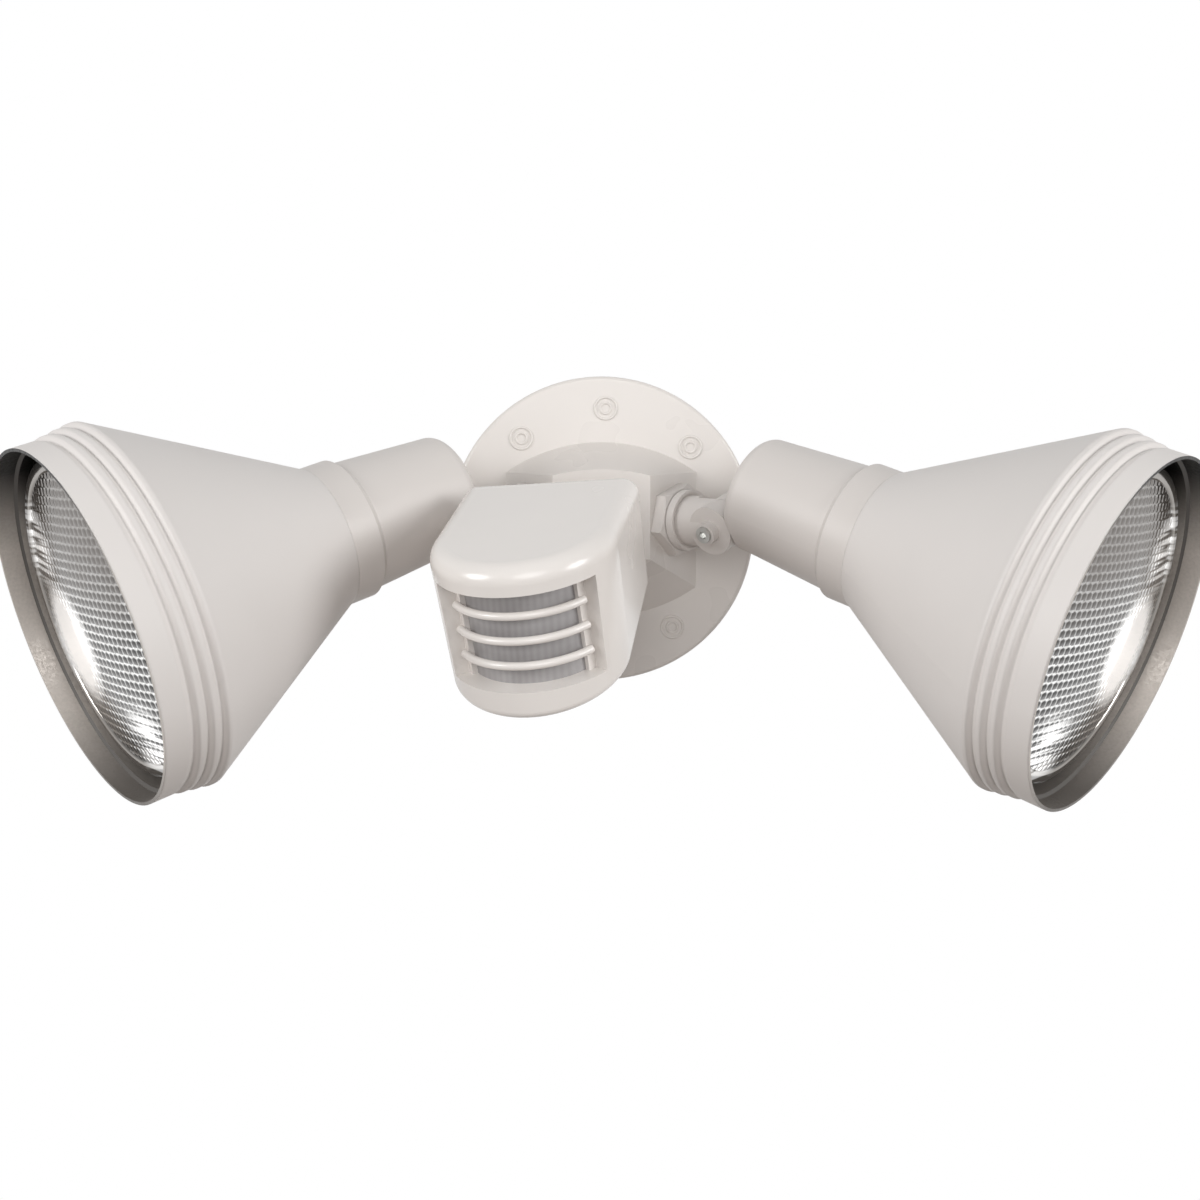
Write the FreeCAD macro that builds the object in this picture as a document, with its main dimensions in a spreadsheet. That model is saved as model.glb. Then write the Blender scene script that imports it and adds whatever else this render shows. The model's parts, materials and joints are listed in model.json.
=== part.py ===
import FreeCAD, Part
import math
import os
import re
import Sketcher
from FreeCAD import Placement, Rotation, Vector

# A twin-lamp outdoor security light with a motion sensor, as it hangs on a wall.
# X points right, Z up and Y into the wall. The wall is the plane Y = 0, the light is in front of it
# at negative Y, and the origin is the centre of the round cover's seat on the wall.
# Lengths are millimetres, angles degrees.

SIZES = {
    # round cover and its raised boss
    "gasket_thick": 2.0, "gasket_gap": 2.95,
    "cover_dia": 127.0, "cover_depth": 8.0, "cover_wall": 2.4, "cover_edge": 1.6,
    "boss_height": 22.0, "boss_wide": 39.5, "boss_tall": 36.5, "boss_side": 24.0,
    "boss_front_top": 24.0, "boss_front_low": 10.0, "boss_crown": 2.5, "boss_wall": 3.0,
    "hub_wall": 4.6,
    # closed conduit knock-outs: a ring and a smaller ring inside it
    "knock_inset": 13.0, "knock_ring": 4.5, "knock_eye": 2.2, "knock_bead": 0.6,
    # bar that fastens the cover to the junction box
    "strap_end": 6.55, "strap_tall": 15.0, "strap_thick": 1.6,
    "box_spacing": 88.9, "box_hole": 2.3, "slot_spacing": 69.85, "slot_long": 8.0, "slot_half": 2.1,
    "centre_screw": 2.08, "centre_head": 4.0, "centre_head_thick": 2.6, "screw_gap": 0.05,
    "plug_thick": 1.6, "ground_reach": 20.0,
    # lamp arms
    "hub_yaw": 42.0, "hub_rise": 5.5, "run_gap": 0.06,
    "stem_radius": 10.4, "stem_bore": 6.5, "nut_flats": 26.0, "nut_thick": 6.0,
    "stem_tail": 9.6, "tail_nut_radius": 13.0, "tail_nut_thick": 4.0,
    "cup_radius": 12.4, "cup_thick": 3.4, "arm_radius": 10.2, "arm_reach": 26.4,
    "cheek_radius": 10.0, "cheek_half": 9.6, "face_gap": 0.15,
    "screw_boss": 4.6, "screw_boss_tall": 3.6, "pivot_radius": 2.4, "pivot_head": 3.3,
    "pivot_head_thick": 2.4, "pivot_socket": 1.7,
    # lampholder
    "right_yaw": 36.8, "right_droop": 16.3, "left_yaw": 35.3, "left_droop": 15.7,
    "axis_offset": 12.0, "axis_side": 10.8, "holder_back": 5.6, "pocket_gap": 0.8,
    "holder_long": 46.7, "holder_rear": 23.0, "holder_front": 25.6, "holder_round": 5.0,
    "holder_wall": 2.6, "holder_floor": 7.4, "collar_radius": 27.6, "collar_long": 13.3, "collar_step": 2.2,
    "socket_radius": 19.4, "socket_start": 8.4, "socket_long": 34.0, "socket_floor": 6.0,
    "shell_radius": 13.9, "shell_wall": 0.5, "shell_long": 26.0, "contact_radius": 3.0,
    "contact_tall": 3.0, "seal_long": 7.0, "seal_gap": 0.4,
    # shade
    "shade_wall": 1.2, "shade_seat": 1.6, "shade_hole": 22.0, "cone_out": 89.8,
    "shade_wide": 69.4, "rib_count": 3.0, "rib_pitch": 5.0, "rib_deep": 1.1,
    "lip_step": 2.4, "lip_deep": 24.0,
    # reflector lamp
    "lamp_clear": 9.1, "lamp_sunk": 9.5, "lamp_band": 11.0, "lamp_neck": 19.6,
    "neck_out": 14.3, "glass_wall": 2.2, "lens_dome": 4.0, "lens_edge": 3.5,
    "cap_radius": 13.2, "cap_long": 26.0, "tip_radius": 4.2, "tip_long": 1.0,
    "burner_radius": 6.5, "burner_long": 38.0, "burner_foot": 3.0,
    # sensor arm
    "sense_hub_side": -10.0, "hub_pad": 1.6, "hub_pad_radius": 11.5,
    "sense_stem": 6.4, "sense_bore": 3.6, "sense_nut_flats": 17.5,
    "sense_nut_thick": 4.0, "sense_tail": 11.8, "tail_gap": 1.35, "sense_tail_nut": 8.6,
    "sense_tail_thick": 3.0,
    "sense_cup": 7.8, "sense_cup_thick": 2.2, "sense_arm": 6.6, "sense_reach": 24.0,
    "sense_cheek": 7.0, "sense_cheek_half": 6.4, "sense_pivot": 1.9, "neck_down": 34.0,
    # sensor head: D-shaped from above, its floor falling toward the front
    "sense_x": -19.0, "sense_y": -79.0, "sense_z": 26.1,
    "sense_yaw": 10.8, "sense_pitch": 17.9, "sense_roll": 4.3,
    "sense_half": 33.9, "sense_long": 84.9, "sense_back": 44.0, "sense_fall": 0.18,
    "sense_draft": 1.4, "sense_wall": 2.2, "sense_brow": 6.5, "sense_edge": 3.0,
    "sense_corner": 5.0, "seam_down": 22.0, "seam_short": 40.9, "seam_dip": 24.0,
    "seam_foot": 60.0,
    "frame_radius": 27.4, "frame_wall": 2.0, "recess_half": 58.0, "recess_top": 10.5,
    "recess_low": 47.5, "window_half": 51.0, "window_top": 12.0, "window_low": 47.5,
    "lens_wall": 1.2, "lens_lap": 1.6, "bar_top": 20.0, "bar_pitch": 9.55, "bar_count": 3.0,
    "bar_radius": 1.5, "bar_reach": 28.6, "bar_half": 54.0,
    # inside and under the sensor head
    "board_wide": 44.0, "board_tall": 32.0, "board_thick": 1.6, "board_at": 44.0,
    "board_top": 13.0, "post_radius": 2.6, "post_side": 17.0, "post_down": 33.0,
    "pir_radius": 4.6, "pir_long": 4.4, "pir_down": 28.0, "cell_radius": 2.6,
    "cell_side": 11.0, "cell_drop": 11.0, "relay_wide": 18.0, "relay_deep": 13.0,
    "relay_tall": 14.0, "dial_radius": 4.8, "dial_tall": 3.2, "dial_side": 9.5, "dial_at": 30.0,
    "spindle_radius": 2.0, "spindle_long": 7.0, "pot_wide": 9.0, "pot_tall": 4.5,
}

# Sizes that follow from others: the shade and the lamp start at the lampholder's front, the lip and
# the lamp's rim follow the shade, the strap its screw holes, and the knock-outs the cover's edge.
DERIVED = {
    "knock_reach": "(cover_dia / 2 - knock_inset)",
    "strap_long": "(box_spacing + 2 * strap_end)",
    "shade_cone_end": "(holder_long + cone_out)",
    "lip_radius": "(shade_wide - lip_step)",
    "lip_end": "(holder_long + cone_out + lip_deep)",
    "lamp_rim": "(shade_wide - lamp_clear)",
    "lamp_rim_at": "(holder_long + cone_out + lip_deep - lamp_sunk)",
    "lamp_neck_at": "(holder_long + neck_out)",
    "seam_run": "(sense_long - seam_short)",
}

# Places round the cover of the closed knock-outs, counted anticlockwise from the right.
KNOCK_ANGLES = (43.0, 88.0, 131.0, 180.0, 234.0, 270.0, 306.0)
SIDES = (("right", 1), ("left", -1))

doc = FreeCAD.newDocument("security_light")
sheet = doc.addObject("Spreadsheet::Sheet", "dims")
for row, (word, number) in enumerate(SIZES.items(), start=1):
    sheet.set("A%d" % row, word)
    sheet.set("B%d" % row, str(number))
    sheet.setAlias("B%d" % row, word)
doc.recompute()

parts = []


def bound(expression):
    """The expression with each size's name pointing at its cell in the sheet."""
    expression = re.sub(r"[a-z][a-z_0-9]*", lambda word: DERIVED.get(word.group(0), word.group(0)),
                        str(expression))
    return re.sub(r"[a-z][a-z_0-9]*", lambda word: "dims." + word.group(0)
                  if word.group(0) in SIZES else word.group(0), str(expression))


ruler = doc.addObject("App::FeaturePython", "ruler")


def value(expression):
    """The number that an expression of named sizes comes to."""
    return float(ruler.evalExpression(bound(expression)))


def bind(thing, **settings):
    for name, expression in settings.items():
        thing.setExpression(name, bound(expression))
    return thing


def keep(thing, label, placement=None):
    """Make the finished object one of the sub-parts that are written out."""
    if placement is not None:
        thing.Placement = placement
    thing.Label = label
    parts.append(thing)
    return thing


def origin_plane(body, role):
    return next(item for item in body.Origin.OriginFeatures if item.Role == role)


def blank_sketch(body, name, role, offset=None):
    sketch = body.newObject("Sketcher::SketchObject", name)
    sketch.AttachmentSupport = (origin_plane(body, role), [""])
    sketch.MapMode = "FlatFace"
    if offset is not None:
        sketch.setExpression(".AttachmentOffset.Base.z", bound(offset))
    return sketch


def outline(body, name, role, corners, bulges=None, offset=None):
    """A closed sketch through corners; bulges[i] is how far edge i bows out to its right."""
    sketch = blank_sketch(body, name, role, offset)
    places = [Vector(value(x), value(y), 0) for x, y in corners]
    bulges = bulges or {}
    count = len(places)
    for i, start in enumerate(places):
        end = places[(i + 1) % count]
        if i in bulges:
            along = (end - start).normalize()
            middle = (start + end) * 0.5 + Vector(along.y, -along.x, 0) * value(bulges[i])
            sketch.addGeometry(Part.Arc(start, middle, end))
        else:
            sketch.addGeometry(Part.LineSegment(start, end))
    ends = []
    for i in range(count):
        arc = sketch.Geometry[i]
        flipped = i in bulges and (arc.StartPoint - places[i]).Length > 1e-6
        ends.append((2, 1) if flipped else (1, 2))
    for i in range(count):
        after = (i + 1) % count
        sketch.addConstraint(Sketcher.Constraint("Coincident", i, ends[i][1], after, ends[after][0]))
    for i, corner in enumerate(corners):
        for kind, expression in zip(("DistanceX", "DistanceY"), corner):
            rule = sketch.addConstraint(Sketcher.Constraint(kind, i, ends[i][0], value(expression)))
            sketch.setExpression("Constraints[%d]" % rule, bound(expression))
    for i, bow in bulges.items():
        (x1, y1), (x2, y2) = corners[i], corners[(i + 1) % count]
        across, up = "((%s) - (%s))" % (x2, x1), "((%s) - (%s))" % (y2, y1)
        chord = "sqrt(%s^2 + %s^2)" % (across, up)
        shift = "((%s)^2 - %s^2 / 4) / (2 * (%s)) / %s" % (bow, chord, bow, chord)
        if abs(value(across)) > abs(value(up)):
            kind, centre = "DistanceY", "((%s) + (%s)) / 2 - %s * %s" % (y1, y2, across, shift)
        else:
            kind, centre = "DistanceX", "((%s) + (%s)) / 2 + %s * %s" % (x1, x2, up, shift)
        rule = sketch.addConstraint(Sketcher.Constraint(kind, i, 3, value(centre)))
        sketch.setExpression("Constraints[%d]" % rule, bound(centre))
    return sketch


def new_body(name):
    return doc.addObject("PartDesign::Body", name)


def turned(name, corners, bulges=None):
    """A round piece: radii and heights of its half section, revolved about Z."""
    body = new_body(name)
    sketch = outline(body, name + "_section", "XZ_Plane", corners, bulges)
    turn = body.newObject("PartDesign::Revolution", name + "_turn")
    turn.Profile = sketch
    turn.ReferenceAxis = (sketch, ["V_Axis"])
    turn.Angle = 360
    doc.recompute()
    return body


def tube(name, outer, inner, low, high):
    return turned(name, [(inner, low), (outer, low), (outer, high), (inner, high)])


def drum(name, radius, height, base, axis, angle=360):
    """A plain cylinder from a point along an axis, as a tool or a simple pin."""
    thing = doc.addObject("Part::Cylinder", name)
    bind(thing, Radius=radius, Height=height)
    thing.Angle = angle
    thing.Placement = Placement(base, Rotation(Vector(0, 0, 1), axis))
    return thing


def block(name, wide, deep, tall, base, rotation=None):
    thing = doc.addObject("Part::Box", name)
    bind(thing, Length=wide, Width=deep, Height=tall)
    thing.Placement = Placement(base, rotation or Rotation())
    return thing


def joined(name, shapes):
    fusion = doc.addObject("Part::MultiFuse", name)
    fusion.Shapes = shapes
    fusion.Refine = True
    return fusion


def minus(name, base, tool):
    cut = doc.addObject("Part::Cut", name)
    cut.Base = base
    cut.Tool = tool
    cut.Refine = True
    return cut


def within(name, base, tool):
    common = doc.addObject("Part::Common", name)
    common.Base = base
    common.Tool = tool
    return common


def axes(x_axis, z_axis):
    """The turn that sends local X and Z to the two given perpendicular directions."""
    return Rotation(x_axis, z_axis.cross(x_axis), z_axis, "ZXY")


def toward(yaw, droop, side):
    """A direction that points sideways, forward by yaw and down by droop."""
    yaw, droop = math.radians(yaw), math.radians(droop)
    return Vector(side * math.cos(droop) * math.cos(yaw), -math.cos(droop) * math.sin(yaw),
                  -math.sin(droop))


# Places shared by several sub-parts.
FRONT = value("gasket_thick + cover_depth")
HUB_SLOPE = "boss_height * tan(hub_yaw)"
BOSS_FRONT_HALF = "(boss_wide - %s)" % HUB_SLOPE


def hub_frame(side):
    """Where an arm leaves the boss: the centre of its slanted face and the arm's direction."""
    base = Vector(side * value("boss_wide - %s / 2" % HUB_SLOPE), -FRONT - value("boss_height / 2"),
                  value("hub_rise"))
    return base, toward(value("hub_yaw"), 0, side)


def head_way(side):
    """Where a lamp points; each is aimed on its own."""
    word = "right" if side > 0 else "left"
    return toward(value(word + "_yaw"), value(word + "_droop"), side)


def pivot_axis(side):
    """The knuckle screw's direction, square to both the arm and the lamp, facing forward."""
    arm = toward(value("hub_yaw"), 0, side)
    axis = arm.cross(head_way(side)).normalize()
    return axis if axis.y < 0 else -axis


def arm_placement(side):
    base, arm = hub_frame(side)
    return Placement(base, axes(pivot_axis(side) * side, arm))


def head_placement(side):
    base, arm = hub_frame(side)
    pivot = base + arm * value("arm_reach")
    return Placement(pivot, axes(pivot_axis(side) * side, head_way(side)))


def lamp_placement(side):
    """The lamp's own axis runs beside the pivot: above it, and set away from the viewer."""
    place = head_placement(side)
    lift = place.Rotation.multVec(Vector(-side * value("axis_side"), -value("axis_offset"),
                                         value("holder_back")))
    return Placement(place.Base + lift, place.Rotation)


def sensor_hub():
    """The flat pad under the boss that carries the sensor's arm, and its direction."""
    rise = value("boss_tall - boss_front_low")
    run = value("boss_height")
    lean = Vector(0, -rise, -run).normalize()
    base = Vector(value("sense_hub_side"), -FRONT - run / 2,
                  -value("(boss_tall + boss_front_low) / 2"))
    return base + lean * value("hub_pad"), lean


def sensor_placement():
    """Origin at the middle of the head's top rear edge, local -Y where it looks."""
    turn = Rotation(Vector(0, 0, 1), -value("sense_yaw"))
    turn = turn * Rotation(Vector(1, 0, 0), value("sense_pitch"))
    turn = turn * Rotation(Vector(0, 1, 0), -value("sense_roll"))
    return Placement(Vector(value("sense_x"), value("sense_y"), value("sense_z")), turn)


def sensor_arm_placement():
    base, lean = sensor_hub()
    side_axis = sensor_placement().Rotation.multVec(Vector(1, 0, 0))
    side_axis = (side_axis - lean * side_axis.dot(lean)).normalize()
    return Placement(base, axes(side_axis, lean))


# ---- round cover, gasket and strap -----------------------------------------------------------

def boss_loft(body, name, kind, inset, back, front):
    """The hip-roofed boss, from its barrel outline on the cover to its smaller front."""
    wide = "(boss_wide - %s)" % inset
    side = "(boss_side - %s)" % inset
    tall = "(boss_tall - %s)" % inset
    top = "(boss_front_top - %s)" % inset
    low = "(boss_front_low - %s)" % inset
    front_half = "(%s - %s)" % (BOSS_FRONT_HALF, inset)
    base = outline(body, name + "_base", "XZ_Plane",
                   [("-" + wide, "-" + side), (wide, "-" + side), (wide, side), ("-" + wide, side)],
                   {0: "%s - %s" % (tall, side), 2: "%s - %s" % (tall, side)}, back)
    tip = outline(body, name + "_front", "XZ_Plane",
                  [("-" + front_half, "-" + low), (front_half, "-" + low), (front_half, top),
                   ("-" + front_half, top)],
                  {0: "boss_crown / 5", 2: "boss_crown"}, front)
    loft = body.newObject(kind, name)
    loft.Profile = base
    loft.Sections = [tip]
    loft.Ruled = True
    doc.recompute()
    return loft


def canopy_cover():
    """Shallow round cover with the boss, three arm holes and the centre screw's hole."""
    body = new_body("cover_body")
    back, face = "gasket_thick", "(gasket_thick + cover_depth)"
    rim, wall, edge = "cover_dia / 2", "cover_wall", "cover_edge"
    section = outline(body, "cover_section", "XY_Plane",
                      [("0", "-" + face), ("%s - %s" % (rim, edge), "-" + face),
                       (rim, "-%s + %s" % (face, edge)), (rim, "-" + back),
                       ("%s - %s" % (rim, wall), "-" + back),
                       ("%s - %s" % (rim, wall), "-%s + %s" % (face, wall)),
                       ("0", "-%s + %s" % (face, wall))],
                      {1: "cover_edge * (1 - 1 / sqrt(2))"})
    turn = body.newObject("PartDesign::Revolution", "cover_turn")
    turn.Profile = section
    turn.ReferenceAxis = (section, ["V_Axis"])
    turn.Angle = 360
    doc.recompute()
    boss_loft(body, "boss", "PartDesign::AdditiveLoft", "0", face, face + " + boss_height")
    boss_loft(body, "boss_room", "PartDesign::SubtractiveLoft", "boss_wall",
              face + " - cover_wall - 0.01", face + " + boss_height - boss_wall")
    beads = []
    for number, angle in enumerate(KNOCK_ANGLES):
        reach = value("knock_reach")
        spot = Vector(reach * math.cos(math.radians(angle)), -FRONT,
                      reach * math.sin(math.radians(angle)))
        for ring in ("knock_ring", "knock_eye"):
            bead = doc.addObject("Part::Torus", "%s_%d" % (ring, number))
            bind(bead, Radius1=ring, Radius2="knock_bead")
            bead.Placement = Placement(spot, Rotation(Vector(0, 0, 1), Vector(0, 1, 0)))
            beads.append(bead)
    sensor_base, lean = sensor_hub()
    pad = drum("sensor_hub_pad", "hub_pad_radius", "hub_pad + boss_wall",
               sensor_base - lean * value("hub_pad + boss_wall"), lean)
    solid = joined("cover_with_rings", [body, pad] + beads)
    holes = []
    for word, side in SIDES:
        base, arm = hub_frame(side)
        holes.append(drum(word + "_stem_hole", "stem_radius + run_gap", "3 * boss_wall",
                          base - arm * value("2 * boss_wall"), arm))
    holes.append(drum("sensor_stem_hole", "sense_stem + run_gap", "3 * boss_wall",
                      sensor_base - lean * value("2.5 * boss_wall"), lean))
    face_at = FRONT + value("boss_height")
    holes.append(drum("centre_hole", "centre_screw + screw_gap", "3 * boss_wall",
                      Vector(0, -face_at - 1, 0), Vector(0, 1, 0)))
    keep(minus("cover", solid, joined("cover_holes", holes)), "canopy_cover")


def wall_gasket():
    lay_back = Placement(Vector(), Rotation(Vector(0, 0, 1), Vector(0, -1, 0)))
    strap_corner = "sqrt((strap_long / 2)^2 + (strap_tall / 2)^2)"
    ring = tube("gasket", "cover_dia / 2 - cover_edge / 2", strap_corner + " + gasket_gap", "0",
                "gasket_thick")
    keep(ring, "wall_gasket", lay_back)


def mounting_strap():
    """Flat bar with two round holes and two slots at the junction box's screw spacings."""
    bar = block("strap_bar", "strap_long", "strap_thick", "strap_tall",
                Vector(-value("strap_long / 2"), -value("strap_thick"), -value("strap_tall / 2")))
    depth = Vector(0, -value("strap_thick") - 1, 0)
    holes = [drum("strap_centre", "centre_screw + screw_gap", "strap_thick + 2", depth,
                  Vector(0, 1, 0)),
             drum("strap_ground", "centre_screw + screw_gap", "strap_thick + 2",
                  depth + Vector(value("ground_reach"), 0, 0), Vector(0, 1, 0))]
    for side in (-1, 1):
        spot = Vector(side * value("box_spacing / 2"), 0, 0)
        holes.append(drum("box_hole_%d" % side, "box_hole", "strap_thick + 2", depth + spot,
                          Vector(0, 1, 0)))
        middle = depth + Vector(side * value("slot_spacing / 2"), 0, 0)
        reach = value("slot_long / 2 - slot_half")
        for end in (-reach, reach):
            holes.append(drum("slot_end_%d_%d" % (side, end), "slot_half", "strap_thick + 2",
                              middle + Vector(end, 0, 0), Vector(0, 1, 0)))
        holes.append(block("slot_%d" % side, "slot_long - 2 * slot_half", "strap_thick + 2",
                           "2 * slot_half", middle - Vector(reach, 0, value("slot_half"))))
    keep(minus("strap", bar, joined("strap_holes", holes)), "mounting_strap")


def screw_forward(name, radius, head_radius, head_thick, length):
    """Pan-head screw along Z: thread up to z = length, its head below z = 0, with a cross slot."""
    blank = turned(name + "_blank", [("0", "-" + head_thick), (head_radius + " * 0.7", "-" + head_thick),
                                     (head_radius, "-%s * 0.35" % head_thick), (head_radius, "0"),
                                     (radius, "0"), (radius, length), ("0", length)])
    slots = []
    for turn in (0, 90):
        slot = block("%s_slot_%d" % (name, turn), head_radius + " * 1.3", head_radius + " * 0.3",
                     head_thick + " * 0.5", Vector())
        half = Vector(value(head_radius + " * 1.3") / 2, value(head_radius + " * 0.3") / 2, 0)
        spin = Rotation(Vector(0, 0, 1), turn)
        slot.Placement = Placement(Vector(0, 0, -value(head_thick)) - spin.multVec(half), spin)
        slots.append(slot)
    return minus(name, blank, joined(name + "_slots", slots))


def cover_screws():
    """The centre screw pulls the cover to the strap; a rubber plug hides its head."""
    front = -FRONT - value("boss_height")
    along = Rotation(Vector(0, 0, 1), Vector(0, 1, 0))
    screw = screw_forward("centre_screw_solid", "centre_screw", "centre_head", "centre_head_thick",
                          "gasket_thick + cover_depth + boss_height")
    keep(screw, "centre_screw", Placement(Vector(0, front, 0), along))
    cap = turned("plug_turn", [("0", "-centre_head_thick - plug_thick"),
                               ("centre_head", "-centre_head_thick - plug_thick"),
                               ("centre_head + plug_thick", "-centre_head_thick"),
                               ("centre_head + plug_thick", "0"), ("centre_head + screw_gap", "0"),
                               ("centre_head + screw_gap", "-centre_head_thick"),
                               ("0", "-centre_head_thick")])
    keep(cap, "screw_plug", Placement(Vector(0, front, 0), along))
    ground = screw_forward("ground_solid", "centre_screw", "centre_head", "centre_head_thick",
                           "strap_thick")
    keep(ground, "ground_screw",
         Placement(Vector(value("ground_reach"), -value("strap_thick"), 0), along))


# ---- arms ------------------------------------------------------------------------------------

def hex_nut(name, label, flats, thick, bore, placement):
    """Chamfered six-sided nut standing on z = 0."""
    corner = "(%s) / sqrt(3)" % flats
    blank = turned(name + "_blank", [(bore, "0"), (corner, "0"), (corner, "%s * 0.8" % thick),
                                     ("(%s) / 2" % flats, thick), (bore, thick)])
    prism = doc.addObject("Part::Prism", name + "_prism")
    prism.Polygon = 6
    bind(prism, Circumradius=corner, Height=thick)
    keep(within(name, blank, prism), label, placement)


def knuckle_arm(name, label, size, screw_side, placement):
    """Threaded hollow stem, cup ring and half knuckle with a raised seat for its screw."""
    stem, bore, tail, nut = size["stem"], size["bore"], size["tail"], size["nut_thick"]
    cup, cup_thick, arm, reach = size["cup"], size["cup_thick"], size["arm"], size["reach"]
    cheek, half, pivot = size["cheek"], size["half"], size["pivot"]
    cup_top = "(%s + %s + 0.3)" % (nut, cup_thick)
    body = turned(name + "_turn", [
        (bore, "-" + tail), (stem, "-" + tail), (stem, "%s + 0.3" % nut), (cup, "%s + 0.3" % nut),
        (cup, cup_top), (cup + " - 1.0", cup_top), (arm, cup_top + " - 0.8"), (arm, reach),
        ("0", reach), ("0", "%s - %s - 3" % (reach, cheek)), (bore, "%s - %s - 3" % (reach, cheek))])
    pivot_at = Vector(0, 0, value(reach))
    disc = drum(name + "_disc", cheek, "2 * (%s)" % half,
                pivot_at - Vector(value(half), 0, 0), Vector(1, 0, 0))
    seat = drum(name + "_seat", "screw_boss", "%s + screw_boss_tall" % half, pivot_at,
                Vector(screw_side, 0, 0))
    solid = joined(name + "_solid", [body, disc, seat])
    span = "(3 * %s)" % cheek
    room_x = "face_gap - %s" % span if screw_side > 0 else "-face_gap"
    room_z = "%s - %s - 0.8" % (reach, cheek)
    room = block(name + "_room", span, span, span,
                 Vector(value(room_x), -value(span) / 2, value(room_z)))
    hole = drum(name + "_hole", "%s + screw_gap" % pivot, "4 * (%s)" % half,
                pivot_at - Vector(value("2 * (%s)" % half), 0, 0), Vector(1, 0, 0))
    sink_depth = value("%s + screw_boss_tall - 1.2" % half)
    sink = drum(name + "_sink", "pivot_head + screw_gap" if size["big"] else "pivot_head",
                "6", pivot_at + Vector(screw_side * sink_depth, 0, 0), Vector(screw_side, 0, 0))
    keep(minus(name, solid, joined(name + "_cuts", [room, hole, sink])), label, placement)


def knuckle_screw(name, label, size, screw_side, placement):
    """Socket-head screw through both halves of a knuckle, with its nut at the far end."""
    half, pivot = size["half"], size["pivot"]
    reach = value(size["reach"])
    head_at = value("%s + screw_boss_tall - 1.2" % half)
    shank = value("%s + screw_boss_tall - 1.2 + (%s) + 3" % (half, half))
    start = Vector(screw_side * head_at, 0, reach)
    rod = drum(name + "_rod", pivot, str(shank), start, Vector(-screw_side, 0, 0))
    head = drum(name + "_head", "pivot_head", "pivot_head_thick", start, Vector(screw_side, 0, 0))
    nut = doc.addObject("Part::Prism", name + "_nut")
    nut.Polygon = 6
    bind(nut, Circumradius="2 * (%s)" % pivot, Height="2.4")
    nut.Placement = Placement(Vector(-screw_side * value("%s + 0.1" % half), 0, reach),
                              Rotation(Vector(0, 0, 1), Vector(-screw_side, 0, 0)))
    solid = joined(name + "_solid", [rod, head, nut])
    key = doc.addObject("Part::Prism", name + "_key")
    key.Polygon = 6
    bind(key, Circumradius="pivot_socket", Height="pivot_head_thick")
    key.Placement = Placement(start + Vector(screw_side * value("pivot_head_thick * 0.3"), 0, 0),
                              Rotation(Vector(0, 0, 1), Vector(screw_side, 0, 0)))
    keep(minus(name, solid, key), label, placement)


LAMP_ARM = {"stem": "stem_radius", "bore": "stem_bore", "tail": "stem_tail",
            "nut_thick": "nut_thick", "cup": "cup_radius", "cup_thick": "cup_thick",
            "arm": "arm_radius", "reach": "arm_reach", "cheek": "cheek_radius",
            "half": "cheek_half", "pivot": "pivot_radius", "big": True}
SENSOR_ARM = {"stem": "sense_stem", "bore": "sense_bore", "tail": "sense_tail",
              "nut_thick": "sense_nut_thick", "cup": "sense_cup", "cup_thick": "sense_cup_thick",
              "arm": "sense_arm", "reach": "sense_reach", "cheek": "sense_cheek",
              "half": "sense_cheek_half", "pivot": "sense_pivot", "big": False}


def below(placement, distance):
    """The same placement moved back along its own Z."""
    return Placement(placement.Base - placement.Rotation.multVec(Vector(0, 0, distance)),
                     placement.Rotation)


def lamp_arm(word, side):
    place = arm_placement(side)
    hex_nut(word + "_nut", word + "_lock_nut", "nut_flats", "nut_thick",
            "stem_radius + run_gap", place)
    knuckle_arm(word + "_arm", word + "_arm_knuckle", LAMP_ARM, side, place)
    tail = tube(word + "_tail", "tail_nut_radius", "stem_radius + screw_gap", "0",
                "tail_nut_thick")
    keep(tail, word + "_stem_nut", below(place, value("hub_wall + tail_nut_thick")))
    knuckle_screw(word + "_pivot", word + "_knuckle_screw", LAMP_ARM, side, place)


# ---- lampholder, shade and lamp ----------------------------------------------------------------

def lampholder(word, side):
    """Cast cup with a stepped collar in front and half a knuckle on its back."""
    end = "(holder_long + collar_long)"
    shell = turned(word + "_holder_turn", [
        ("0", "0"), ("holder_rear - holder_round", "0"), ("holder_rear", "holder_round"),
        ("holder_front", "holder_long"), ("collar_radius", "holder_long + collar_step"),
        ("collar_radius", end), ("collar_radius - holder_wall", end),
        ("collar_radius - holder_wall", "%s - seal_long - 1" % end),
        ("socket_radius + 0.3", "%s - seal_long - 1" % end), ("socket_radius + 0.3", "holder_floor"),
        ("0", "holder_floor")], {1: "holder_round * (1 - 1 / sqrt(2))"})
    place = head_placement(side)
    shell.Placement = lamp_placement(side)
    far = -side
    reach = value("cheek_half - face_gap")
    near = value("face_gap")
    disc = drum(word + "_lug_disc", "cheek_radius", "cheek_half - face_gap",
                place.multVec(Vector(far * near, 0, 0)), place.Rotation.multVec(Vector(far, 0, 0)))
    low = Vector(-near - reach if far < 0 else near, -value("cheek_radius"), 0)
    web = block(word + "_lug_web", "cheek_half - face_gap", "2 * cheek_radius - 2",
                "holder_back + 1.5", place.multVec(low), place.Rotation)
    solid = joined(word + "_holder_solid", [shell, disc, web])
    across = place.Rotation.multVec(Vector(1, 0, 0))
    hole = drum(word + "_lug_hole", "pivot_radius + run_gap", "4 * cheek_half",
                place.Base - across * value("2 * cheek_half"), across)
    pocket = drum(word + "_knuckle_pocket", "cheek_radius + pocket_gap",
                  "cheek_half + pocket_gap + 6", place.Base - across * side * near, across * side)
    keep(minus(word + "_holder", solid, joined(word + "_holder_cuts", [hole, pocket])),
         word + "_lampholder")


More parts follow.
